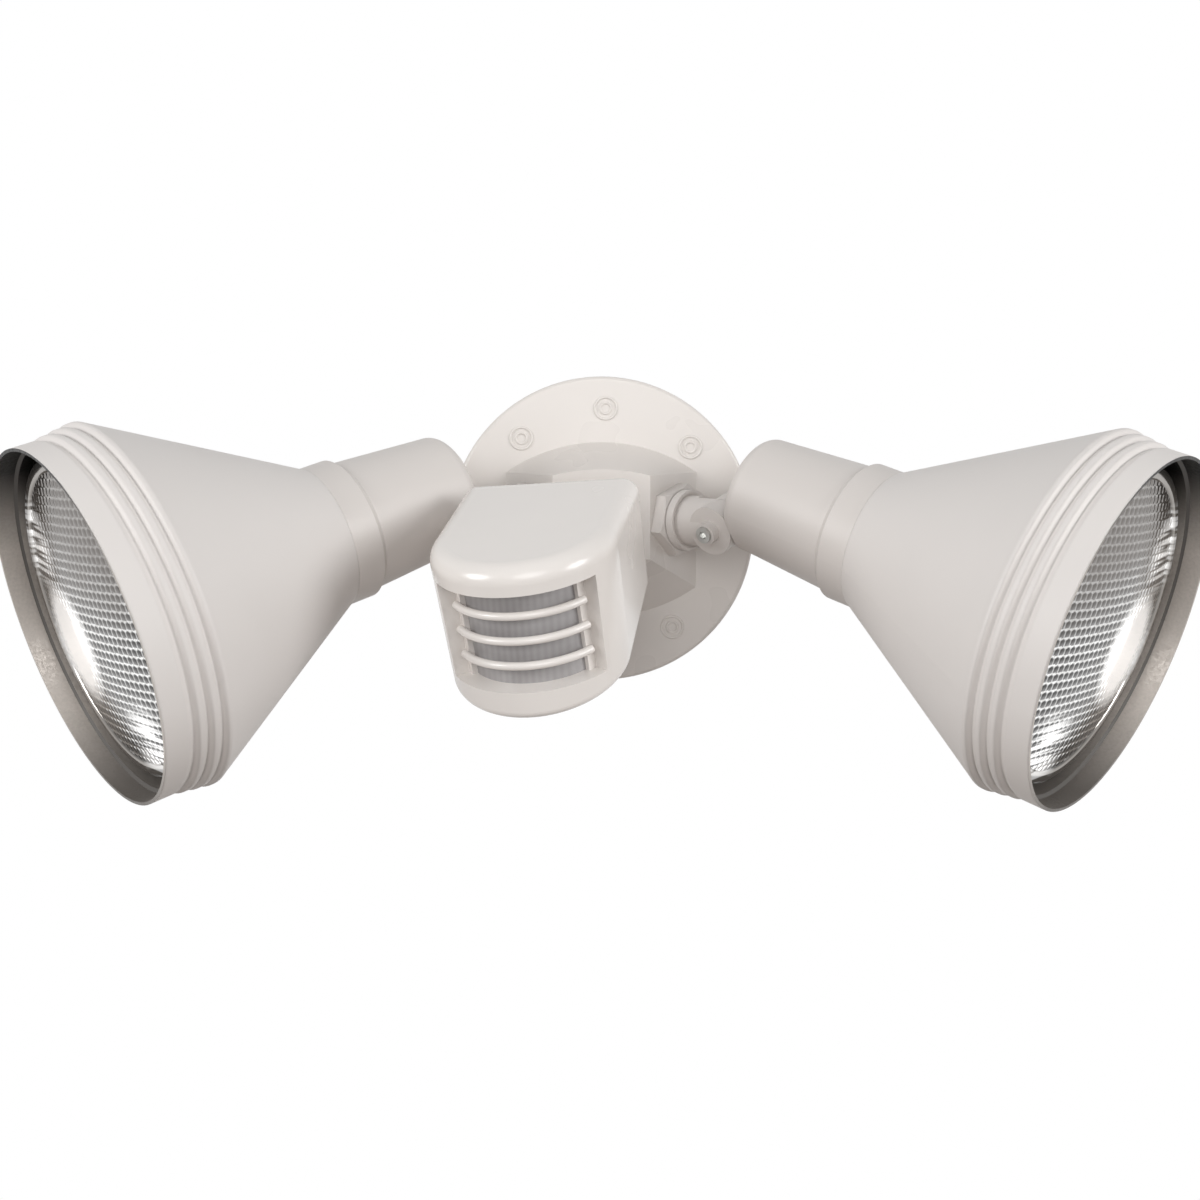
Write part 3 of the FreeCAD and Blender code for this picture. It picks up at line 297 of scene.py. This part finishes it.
# %% Raw metal in the shades
RAW_METAL, PAINTED_STEP_SHADE = (0.58, 0.53, 0.485), (0.10, 0.092, 0.084)
# Painted shade inside the shades: darker at the bottom and almost black at the top.
PAINTED_INSIDE_LOW, INSIDE_LOW_MOST, INSIDE_LOW_DEEPEST, INSIDE_LOW_ENDS = (0.07, 0.062, 0.055), 0.85, -88 * MM, -62 * MM
PAINTED_INSIDE_TOP, INSIDE_TOP_STARTS, INSIDE_TOP_FULL = (0.013, 0.012, 0.011), -2 * MM, 30 * MM
EDGE_DEEP, LEVEL_WITH_EDGE = 2 * MM, 0.01 * MM
FACES_OUT, FACES_PARTLY_OUT = 0.7, 0.3

raw_metal = surface("raw_spun_metal", RAW_METAL, 0.42, metal=0.35,
                    grain=(2600.0, 0.5, 0.08 * MM), shade_by=0.35, rough_by=0.1, mottle=900.0)
# The inside is painted darker toward the bottom and almost black toward the top, as painted shade.
colour_by_height(raw_metal, PAINTED_INSIDE_LOW, INSIDE_LOW_MOST, 0.0, INSIDE_LOW_DEEPEST, INSIDE_LOW_ENDS)
colour_by_height(raw_metal, PAINTED_INSIDE_TOP, 0.0, 1.0, INSIDE_TOP_STARTS, INSIDE_TOP_FULL)
# The step behind the lip gets a near-black finish: painted shade.
step_painted_shade = surface("step_painted_shade", PAINTED_STEP_SHADE, 0.6, metal=0.2, shade_by=0.2)


def bare_inside(side):
    """Mark the faces that look at the axis, the lip's edge and the step behind the lip."""
    out = head_directions(side)[0]
    centre = centre_and_reach(side + "_lamp_lens", out)[0]
    mesh = frame["nodes"][side + "_shade"].data
    mesh.materials.append(raw_metal)
    mesh.materials.append(step_painted_shade)
    top = max(v.co.dot(out) for v in mesh.vertices)
    lip_inside = min(from_axis(v.co, centre, out).length for v in mesh.vertices
                     if top - v.co.dot(out) < LEVEL_WITH_EDGE)
    bare = 0
    for face in mesh.polygons:
        across = from_axis(face.center, centre, out)
        outward = face.normal.dot(out)
        inward = face.normal.dot(across) < 0
        edge = outward > FACES_OUT and top - face.center.dot(out) < EDGE_DEEP
        step = outward > FACES_PARTLY_OUT and across.length < lip_inside
        if inward or edge or step:
            # The step gets the near-black painted shade, the rest the raw metal.
            face.material_index = 2 if step else 1
            bare += 1
    return bare, len(mesh.polygons)


for side in SIDES:
    print(side, "shade, bare faces: %d of %d" % bare_inside(side))

# %% [markdown]
# ## The beads of a lamp face
# A flood lamp is closed by pressed glass that is covered with small round lenses in rows.
# Each bead bends the light of the silvered bowl behind it: its body looks like a dark
# tooth, and a bright line runs over it from bead to bead. So a point of the face needs two
# numbers, which both follow from its place in its own bead: a height and a tone. The tone
# is painted light and shade: the dark tooth and the bright line are painted into the colour.

# %% One bead
PITCH_ROW, PITCH_BEAD = 3.3 * MM, 4.1 * MM
ROW_ARCH, ARCH_REACH, ROW_TILT = 0.3, 60 * MM, 0.034
TOOTH_TOP, TOOTH_SWELL, LINE_SOFT = 0.20, 0.09, 0.10
GAP_TONE, GAP_EDGES = 0.60, (0.34, 0.46)
FOOT_TONE, FOOT_EDGES = 0.20, (0.20, 0.65)


def in_bead(across, up):
    """Where a point lies in its own bead, from -0.5 to 0.5 each way. Rows arch and alternate."""
    row = (up + ROW_TILT * across) / PITCH_ROW - ROW_ARCH * (across / ARCH_REACH) ** 2
    shift = 0.5 * (math.floor(row) % 2)
    return (across / PITCH_BEAD + shift) % 1 - 0.5, row % 1 - 0.5


def ramp(value, start, end):
    """From 0 at the start to 1 at the end, and level beyond both."""
    return min(1.0, max(0.0, (value - start) / (end - start)))


def bead_height(sideways, upward):
    """From 0 between the beads to 1 on top of one."""
    return max(0.0, 1 - 4 * (sideways ** 2 + upward ** 2)) ** 0.5


def bead_tone(sideways, upward):
    """Painted light and shade: from 0 for the dark tooth to 1 for the bright line over it."""
    tooth_top = TOOTH_TOP + TOOTH_SWELL * math.cos(2 * math.pi * sideways)
    line = ramp(upward, tooth_top, tooth_top + LINE_SOFT)
    gap = GAP_TONE * ramp(abs(sideways), *GAP_EDGES)
    foot = FOOT_TONE * ramp(tooth_top - upward, *FOOT_EDGES)
    return max(line, min(1.0, gap + foot))


print("tone in the middle of a bead %.2f, on the line %.2f" % (bead_tone(0, 0), bead_tone(0, 0.45)))

# %% [markdown]
# ## The stippled lamp faces
# The face is a fine grid trimmed to a disc. Each of its points is raised by the dome and by
# the bead it belongs to, and the bead's tone is kept as an attribute, for the finish to
# read. The glass is smooth where the bowl throws its light straight back. Round the beads
# runs a smooth rim, a profile that is spun round the axis. A place on the face is given
# from 0 to 1 both ways, and a size on it as a share of its width.

# %% The beaded disc and its rim
BEAD_TALL = 0.14 * MM
POINTS_PER_BEAD = 12
HOT_SPOT, HOT_RADIUS = (0.76, 0.40), 0.16
SMOOTH_TO, BEADED_FROM = 0.6 * HOT_RADIUS, 1.1 * HOT_RADIUS
DOME = 4 * MM
DISC_SUNK, DISC_LAP = 1.0 * MM, 0.4 * MM
RIM_WIDE, RIM_STEPS = 5.0 * MM, 96
FOOT_IN, FOOT_DOWN, STEP_DOWN, STEP_WIDE = 0.6 * MM, 1.6 * MM, 0.5 * MM, 1.2 * MM
EDGE_WIDE, EDGE_IN, EDGE_DOWN, EDGE_TALL = 1.5 * MM, 0.3 * MM, 0.4 * MM, 1.6 * MM


def dome_height(reach, radius):
    """How high the dome stands over the glass's edge at a reach from the axis."""
    ball = (radius ** 2 + DOME ** 2) / (2 * DOME)
    return math.sqrt(ball ** 2 - reach ** 2) - (ball - DOME)


def add_beads(bm, radius):
    """A grid trimmed to a disc and raised by the dome and by its beads."""
    inner = radius - RIM_WIDE
    count = int(2 * inner / PITCH_BEAD * POINTS_PER_BEAD)
    bmesh.ops.create_grid(bm, x_segments=count, y_segments=count, size=inner + DISC_LAP)
    outside = [v for v in bm.verts if v.co.length > inner + DISC_LAP]
    bmesh.ops.delete(bm, geom=outside, context="VERTS")
    bead = bm.verts.layers.float.new("bead")
    hot = Vector((HOT_SPOT[0] - 0.5, HOT_SPOT[1] - 0.5, 0)) * 2 * radius
    for v in bm.verts:
        place_in_bead = in_bead(v.co.x, v.co.y)
        v[bead] = bead_tone(*place_in_bead)
        beaded = ramp((v.co - hot).length / (2 * radius), SMOOTH_TO, BEADED_FROM)
        v.co.z = (dome_height(v.co.length, radius) - DISC_SUNK
                  + BEAD_TALL * beaded * bead_height(*place_in_bead))


def add_rim(bm, radius, back):
    """From under the beads, up onto the dome, round the edge and down to the glass's back."""
    inner = radius - RIM_WIDE
    profile = [(inner - FOOT_IN, dome_height(inner, radius) - FOOT_DOWN),
               (inner, dome_height(inner, radius) - STEP_DOWN),
               (inner + STEP_WIDE, dome_height(inner + STEP_WIDE, radius)),
               (radius - EDGE_WIDE, dome_height(radius - EDGE_WIDE, radius)),
               (radius - EDGE_IN, -EDGE_DOWN), (radius, -EDGE_TALL), (radius, back)]
    chain = [bm.verts.new((r, 0, z)) for r, z in profile]
    edges = [bm.edges.new(pair) for pair in zip(chain, chain[1:])]
    bmesh.ops.spin(bm, geom=chain + edges, axis=(0, 0, 1), cent=(0, 0, 0), steps=RIM_STEPS,
                   angle=2 * math.pi, use_merge=True)


def turn_outward(bm):
    """Make the faces look up, which is out of the lamp."""
    bmesh.ops.recalc_face_normals(bm, faces=bm.faces)
    looking_up = sum(1 for f in bm.faces if f.normal.z > 0)
    if looking_up < len(bm.faces) / 2:
        bmesh.ops.reverse_faces(bm, faces=bm.faces)


def add_face_map(bm, radius):
    """Keep each point's place on the face as a UV map, from 0 to 1 both ways."""
    layer = bm.loops.layers.uv.new("face")
    for f in bm.faces:
        for loop in f.loops:
            loop[layer].uv = (loop.vert.co.x / (2 * radius) + 0.5,
                              loop.vert.co.y / (2 * radius) + 0.5)


def lamp_face(side):
    """Build a face lying flat, put it on its lamp and hide the lens that it takes the place of."""
    out, level, rise = head_directions(side)
    node = side + "_lamp_lens"
    centre, near, far = centre_and_reach(node, out)
    radius = max(from_axis(v.co, centre, out).length for v in frame["nodes"][node].data.vertices)
    edge_at = far - DOME

    bm = bmesh.new()
    add_beads(bm, radius)
    add_rim(bm, radius, near - edge_at)
    turn_outward(bm)
    add_face_map(bm, radius)
    place = Matrix((level, rise, out)).transposed().to_4x4()
    place.translation = centre + out * (edge_at - centre.dot(out))
    bmesh.ops.transform(bm, matrix=place, verts=bm.verts)
    if place.determinant() < 0:
        bmesh.ops.reverse_faces(bm, faces=bm.faces)
    mesh = bpy.data.meshes.new(side + "_lamp_face")
    bm.to_mesh(mesh)
    bm.free()
    mesh.shade_smooth()

    piece = bpy.data.objects.new(side + "_lamp_face", mesh)
    bpy.context.scene.collection.objects.link(piece)
    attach(piece, side + "_lamp")
    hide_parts(node)
    return piece


lamp_faces = [lamp_face(side) for side in SIDES]
for piece in lamp_faces:
    print(piece.name, len(piece.data.polygons), "faces")

# %% [markdown]
# ## Finding a place on the lamp face
# The finish of a lamp face changes from place to place, so it needs a few measures: how far
# out and how high a point lies, how far it is from a glint, and fine level streaks, because
# near the rim whole rows of beads shine at once.

# %% Measures on the face
FACE_MIDDLE = (0.5, 0.5)
STREAK_STRETCH, STREAK_SCALE = (2.0, 34.0, 1.0), 1.6
STREAK_EDGES = (0.42, 0.54)


def number(nodes, links, kind, first, second):
    """A Math node of two inputs, each a socket or a number."""
    node = nodes.new("ShaderNodeMath")
    node.operation = kind
    for socket, given in zip(node.inputs, (first, second)):
        if isinstance(given, bpy.types.NodeSocket):
            links.new(given, socket)
        else:
            socket.default_value = given
    return node.outputs["Value"]


def plus_share(nodes, links, measure, other, share):
    """A measure plus a share of another, such as a cloud that breaks up a straight edge."""
    return number(nodes, links, "ADD", measure, number(nodes, links, "MULTIPLY", other, share))


def face_map(nodes):
    """Where a point lies on the lamp's face: 0 to 1 from the inner side outward, and upward."""
    node = nodes.new("ShaderNodeUVMap")
    node.uv_map = "face"
    return node.outputs["UV"]


def distance_from(nodes, links, point):
    """How far it is to a place on the lamp's face."""
    node = nodes.new("ShaderNodeVectorMath")
    node.operation = "DISTANCE"
    node.inputs[1].default_value = (*point, 0)
    links.new(face_map(nodes), node.inputs[0])
    return node.outputs["Value"]


def streaks_along_rows(nodes, links):
    """1 on fine level streaks and 0 between them."""
    stretched = nodes.new("ShaderNodeMapping")
    stretched.inputs["Scale"].default_value = STREAK_STRETCH
    links.new(face_map(nodes), stretched.inputs["Vector"])
    noise = nodes.new("ShaderNodeTexNoise")
    noise.inputs["Scale"].default_value = STREAK_SCALE
    noise.inputs["Detail"].default_value = 1.0
    links.new(stretched.outputs["Vector"], noise.inputs["Vector"])
    return spread(nodes, links, noise.outputs["Fac"], 0.0, 1.0, *STREAK_EDGES)


# %% [markdown]
# ## The finish of a lamp face
# The glass itself is clear. What shows is the silvered bowl, broken up by the beads. So the
# finish is bright metal with the bowl's reflections painted into its colour: dark in each
# bead's tooth and bright on the line over it, greyer toward the outer side and browner toward
# the top. One round painted highlight stands where the light is thrown straight back, and
# two painted glints near the rim are streaked. A little painted glow lifts these three.

# %% Silvered, beaded glass
# These colours paint the bowl's light and shade: painted reflections, highlight, glints and glow.
TOOTH_DARK, TOOTH_PAINTED_GREY = (0.008, 0.007, 0.006), (0.26, 0.245, 0.23)
LINE_DIM, LINE_WHITE, LINE_PAINTED_GREY = (0.80, 0.79, 0.775), (1.0, 1.0, 1.0), (0.66, 0.64, 0.62)
PAINTED_GREY_MOST, PAINTED_GREY_EDGES, PAINTED_GREY_DRIFT = 0.9, (0.74, 1.02), 0.35
BROWN, BROWN_MOST, BROWN_EDGES, BROWN_DRIFT = (0.17, 0.15, 0.135), 0.78, (0.60, 0.86), 0.25
SPARKLE_SCALE, SPARKLE_EDGES = 650.0, (0.4, 0.6)
CLOUD_SCALE = 32.0
PAINTED_HIGHLIGHT_WHITE, HOT_RAGGED_SCALE, HOT_RAGGED = (0.93, 0.925, 0.92), 420.0, 0.05
HOT_ENDS = 1.45 * HOT_RADIUS
PAINTED_GLINT_WHITE, FLARE_CORE = (0.97, 0.96, 0.95), 0.35
FLARES = (((0.86, 0.72), 0.17), ((0.36, 0.12), 0.17))
RIM_GREY, RIM_STARTS, RIM_SOFT = (0.30, 0.28, 0.26), 0.455, 0.006
PAINTED_GLOW = 0.45


def bead_colour(nodes, links):
    """Painted reflections: dark teeth and bright lines, greyer outward and going brown upward."""
    bead = nodes.new("ShaderNodeAttribute")
    bead.attribute_name = "bead"
    place = nodes.new("ShaderNodeSeparateXYZ")
    links.new(face_map(nodes), place.inputs["Vector"])
    cloud = object_noise(nodes, links, CLOUD_SCALE)
    outward = plus_share(nodes, links, place.outputs["X"], cloud, PAINTED_GREY_DRIFT)
    painted_grey = spread(nodes, links, outward, 0.0, PAINTED_GREY_MOST, *PAINTED_GREY_EDGES)
    sparkle = spread(nodes, links, object_noise(nodes, links, SPARKLE_SCALE), 0.0, 1.0,
                     *SPARKLE_EDGES)
    bright = mixed(nodes, links, sparkle, LINE_DIM, LINE_WHITE)
    tooth = mixed(nodes, links, painted_grey, TOOTH_DARK, TOOTH_PAINTED_GREY)
    line = mixed(nodes, links, painted_grey, bright, LINE_PAINTED_GREY)
    colour = mixed(nodes, links, bead.outputs["Fac"], tooth, line)
    upward = plus_share(nodes, links, place.outputs["Y"], cloud, BROWN_DRIFT)
    high = spread(nodes, links, upward, 0.0, BROWN_MOST, *BROWN_EDGES)
    return mixed(nodes, links, high, colour, BROWN)


def painted_highlight_patch(nodes, links):
    """1 in the round painted highlight, where the light is thrown straight back, with a ragged
    edge.
    """
    ragged = plus_share(nodes, links, distance_from(nodes, links, HOT_SPOT),
                        object_noise(nodes, links, HOT_RAGGED_SCALE), HOT_RAGGED)
    return spread(nodes, links, ragged, 1.0, 0.0, HOT_RADIUS, HOT_ENDS)


def streaked_glints(nodes, links):
    """For each painted glint near the rim, 1 on its streaks in its middle and 0 outside it."""
    streaks = streaks_along_rows(nodes, links)
    glints = []
    for point, size in FLARES:
        near = spread(nodes, links, distance_from(nodes, links, point), 1.0, 0.0,
                      size * FLARE_CORE, size)
        glints.append(number(nodes, links, "MULTIPLY", near, streaks))
    return glints


def beaded_glass():
    """The beads' painted reflections, then the painted highlight and glints with their painted
    glow, and the plain rim over them.
    """
    material, nodes, links = new_finish("beaded_lamp_glass")
    shader = nodes["Principled BSDF"]
    shader.inputs["Metallic"].default_value = 1.0
    shader.inputs["Coat Weight"].default_value = 0.05
    shader.inputs["Coat Roughness"].default_value = 0.03
    shader.inputs["Roughness"].default_value = 0.10
    hot = painted_highlight_patch(nodes, links)
    colour = mixed(nodes, links, hot, bead_colour(nodes, links), PAINTED_HIGHLIGHT_WHITE)
    glow = hot
    for glint in streaked_glints(nodes, links):
        colour = mixed(nodes, links, glint, colour, PAINTED_GLINT_WHITE)
        glow = number(nodes, links, "MAXIMUM", glow, glint)
    rim = spread(nodes, links, distance_from(nodes, links, FACE_MIDDLE), 0.0, 1.0,
                 RIM_STARTS, RIM_STARTS + RIM_SOFT)
    links.new(mixed(nodes, links, rim, colour, RIM_GREY), shader.inputs["Base Color"])
    links.new(mixed(nodes, links, glow, (0, 0, 0), (1, 1, 1)), shader.inputs["Emission Color"])
    shader.inputs["Emission Strength"].default_value = PAINTED_GLOW
    return material


beaded = beaded_glass()
for piece in lamp_faces:
    piece.data.materials.append(beaded)
print("lamp face finish of", len(beaded.node_tree.nodes), "nodes")

# %% [markdown]
# ## The sensor's window
# Behind the bars stands a bent sheet of grey, translucent plastic, pressed with fine
# upright prisms that point the sensor's view in fan-shaped beams. It is nearly dull, with
# the prisms as faint upright lines. The sensor looks a few degrees to one side, so the
# lines are turned with it.

# %% Sensor window finish
SENSOR_TURN = 10.8
PRISM_SCALE, PRISM_WAVER, PRISM_SHARE = 130.0, 0.4, 0.35
PATCH_SCALE, PATCH_MOST = 60.0, 0.8
FILM_DARK, FILM_PALE = (0.27, 0.258, 0.258), (0.37, 0.357, 0.36)
PRISM_BUMP, PRISM_DEEP = 0.12, 0.1 * MM


def window_film():
    """Grey in patches, with the prisms in its colour and in its bump."""
    material, nodes, links = new_finish("sensor_window_film")
    shader = nodes["Principled BSDF"]
    shader.inputs["Roughness"].default_value = 0.34
    shader.inputs["Coat Weight"].default_value = 0.3
    place = nodes.new("ShaderNodeTexCoord")
    turn = nodes.new("ShaderNodeMapping")
    turn.inputs["Rotation"].default_value = (0, 0, math.radians(SENSOR_TURN))
    prisms = nodes.new("ShaderNodeTexWave")
    prisms.bands_direction = "X"
    prisms.inputs["Scale"].default_value = PRISM_SCALE
    prisms.inputs["Distortion"].default_value = PRISM_WAVER
    links.new(place.outputs["Object"], turn.inputs["Vector"])
    links.new(turn.outputs["Vector"], prisms.inputs["Vector"])
    patch = spread(nodes, links, object_noise(nodes, links, PATCH_SCALE), 0.0, PATCH_MOST)
    tone = plus_share(nodes, links, patch, prisms.outputs["Fac"], PRISM_SHARE)
    links.new(mixed(nodes, links, tone, FILM_DARK, FILM_PALE), shader.inputs["Base Color"])
    links.new(bump(nodes, links, prisms.outputs["Fac"], PRISM_BUMP, PRISM_DEEP),
              shader.inputs["Normal"])
    return material


dress(window_film(), "sensor_lens")

# %% [markdown]
# ## Floor and world
# The light is shown by itself on white, so the pale floor lies far below it. Near the light's
# shadow the floor is plain matt white, and further out it goes over into the white of the
# world, which is white to the camera and in reflections, but gives only a soft fill.

# %% Floor and world
FLOOR_DOWN, FLOOR_HALF, FLOOR_SQUARES = -0.9, 3.0, 8
UNDER_LIGHT = (0, -0.1, FLOOR_DOWN)
SHADOW_ROOM = (0.55, 1.0)
FLOOR_BOUNCE, FLOOR_SEEN = (0.32, 0.28, 0.255), (0.9, 0.9, 0.9)
WORLD_FILL = 0.36


def seen_directly(nodes, links):
    """1 for rays from the camera, from a mirror or through glass, and 0 for the light itself."""
    path = nodes.new("ShaderNodeLightPath")
    seen = number(nodes, links, "MAXIMUM", path.outputs["Is Camera Ray"],
                  path.outputs["Is Glossy Ray"])
    return number(nodes, links, "MAXIMUM", seen, path.outputs["Is Transmission Ray"])


def white_floor():
    """Plain matt white near the light, and the world's own white further out."""
    material, nodes, links = new_finish("pale_floor")
    matt = nodes["Principled BSDF"]
    matt.inputs["Roughness"].default_value = 0.9
    seen = seen_directly(nodes, links)
    links.new(mixed(nodes, links, seen, FLOOR_BOUNCE, FLOOR_SEEN), matt.inputs["Base Color"])
    glow = nodes.new("ShaderNodeEmission")
    place = nodes.new("ShaderNodeTexCoord")
    away = nodes.new("ShaderNodeVectorMath")
    away.operation = "DISTANCE"
    away.inputs[1].default_value = UNDER_LIGHT
    links.new(place.outputs["Object"], away.inputs[0])
    far = spread(nodes, links, away.outputs["Value"], 0.0, 1.0, *SHADOW_ROOM)
    mix = nodes.new("ShaderNodeMixShader")
    links.new(number(nodes, links, "MULTIPLY", far, seen), mix.inputs["Fac"])
    links.new(matt.outputs["BSDF"], mix.inputs[1])
    links.new(glow.outputs["Emission"], mix.inputs[2])
    links.new(mix.outputs["Shader"], nodes["Material Output"].inputs["Surface"])
    return material


def make_floor():
    bm = bmesh.new()
    bmesh.ops.create_grid(bm, x_segments=FLOOR_SQUARES, y_segments=FLOOR_SQUARES, size=FLOOR_HALF)
    bmesh.ops.translate(bm, verts=bm.verts, vec=(0, 0, FLOOR_DOWN))
    mesh = bpy.data.meshes.new("floor")
    bm.to_mesh(mesh)
    bm.free()
    floor = bpy.data.objects.new("floor", mesh)
    floor.data.materials.append(white_floor())
    bpy.context.scene.collection.objects.link(floor)


def white_world():
    """White where it is seen, and only a soft fill as a light."""
    world = bpy.data.worlds.new("white_room")
    world.use_nodes = True
    nodes, links = world.node_tree.nodes, world.node_tree.links
    background = nodes["Background"]
    background.inputs["Color"].default_value = (1, 1, 1, 1)
    links.new(spread(nodes, links, seen_directly(nodes, links), WORLD_FILL, 1.0, 0.0, 1.0),
              background.inputs["Strength"])
    bpy.context.scene.world = world


make_floor()
white_world()
print("floor and world made")

# %% [markdown]
# ## Lamps of the studio
# One large soft lamp stands in front, and one on each side lights the shades' outer sides.
# They are round and wide, so that no shadow on the light has a hard edge.

# %% Studio lamps
AIM = (0, -0.1, 0)
FRONT_PLACE, FRONT_SIZE, FRONT_WATTS = (0, -2.2, 0.55), 1.2, 12
SIDE_PLACE, SIDE_SIZE, SIDE_WATTS = (1.75, -1.15, 0.5), 1.0, 20


def soft_lamp(name, place, size, power):
    """A round lamp that looks at the middle of the light."""
    data = bpy.data.lights.new(name, "AREA")
    data.shape = "DISK"
    data.size = size
    data.energy = power
    lamp = bpy.data.objects.new(name, data)
    lamp.location = place
    lamp.rotation_euler = (Vector(AIM) - Vector(place)).to_track_quat("-Z", "Y").to_euler()
    bpy.context.scene.collection.objects.link(lamp)


soft_lamp("front_lamp", FRONT_PLACE, FRONT_SIZE, FRONT_WATTS)
for name, way in (("right_lamp_light", 1), ("left_lamp_light", -1)):
    soft_lamp(name, (way * SIDE_PLACE[0], *SIDE_PLACE[1:]), SIDE_SIZE, SIDE_WATTS)
print("studio lamps:", len(bpy.data.lights))

# %% [markdown]
# ## Camera
# The photograph looks at the light from in front and a little above, from about three
# quarters of a metre. The camera's place and lens were found by laying known points of the
# solid model over the photograph.

# %% Camera
FOCAL_PIXELS = 1800
IMAGE_PIXELS = 1200
IMAGE_WIDE = 36.0
LOOK_DOWN = 7.4
CAMERA_PLACE = (-0.00055, -0.758, 0.0677)

camera_data = bpy.data.cameras.new("camera")
camera_data.sensor_width = IMAGE_WIDE
camera_data.lens = IMAGE_WIDE * FOCAL_PIXELS / IMAGE_PIXELS
camera = bpy.data.objects.new("camera", camera_data)
camera.location = CAMERA_PLACE
camera.rotation_euler = (math.radians(90 - LOOK_DOWN), 0, 0)
bpy.context.scene.collection.objects.link(camera)
bpy.context.scene.camera = camera
bpy.context.scene.view_settings.view_transform = "Standard"
print("lens of", camera_data.lens, "mm")
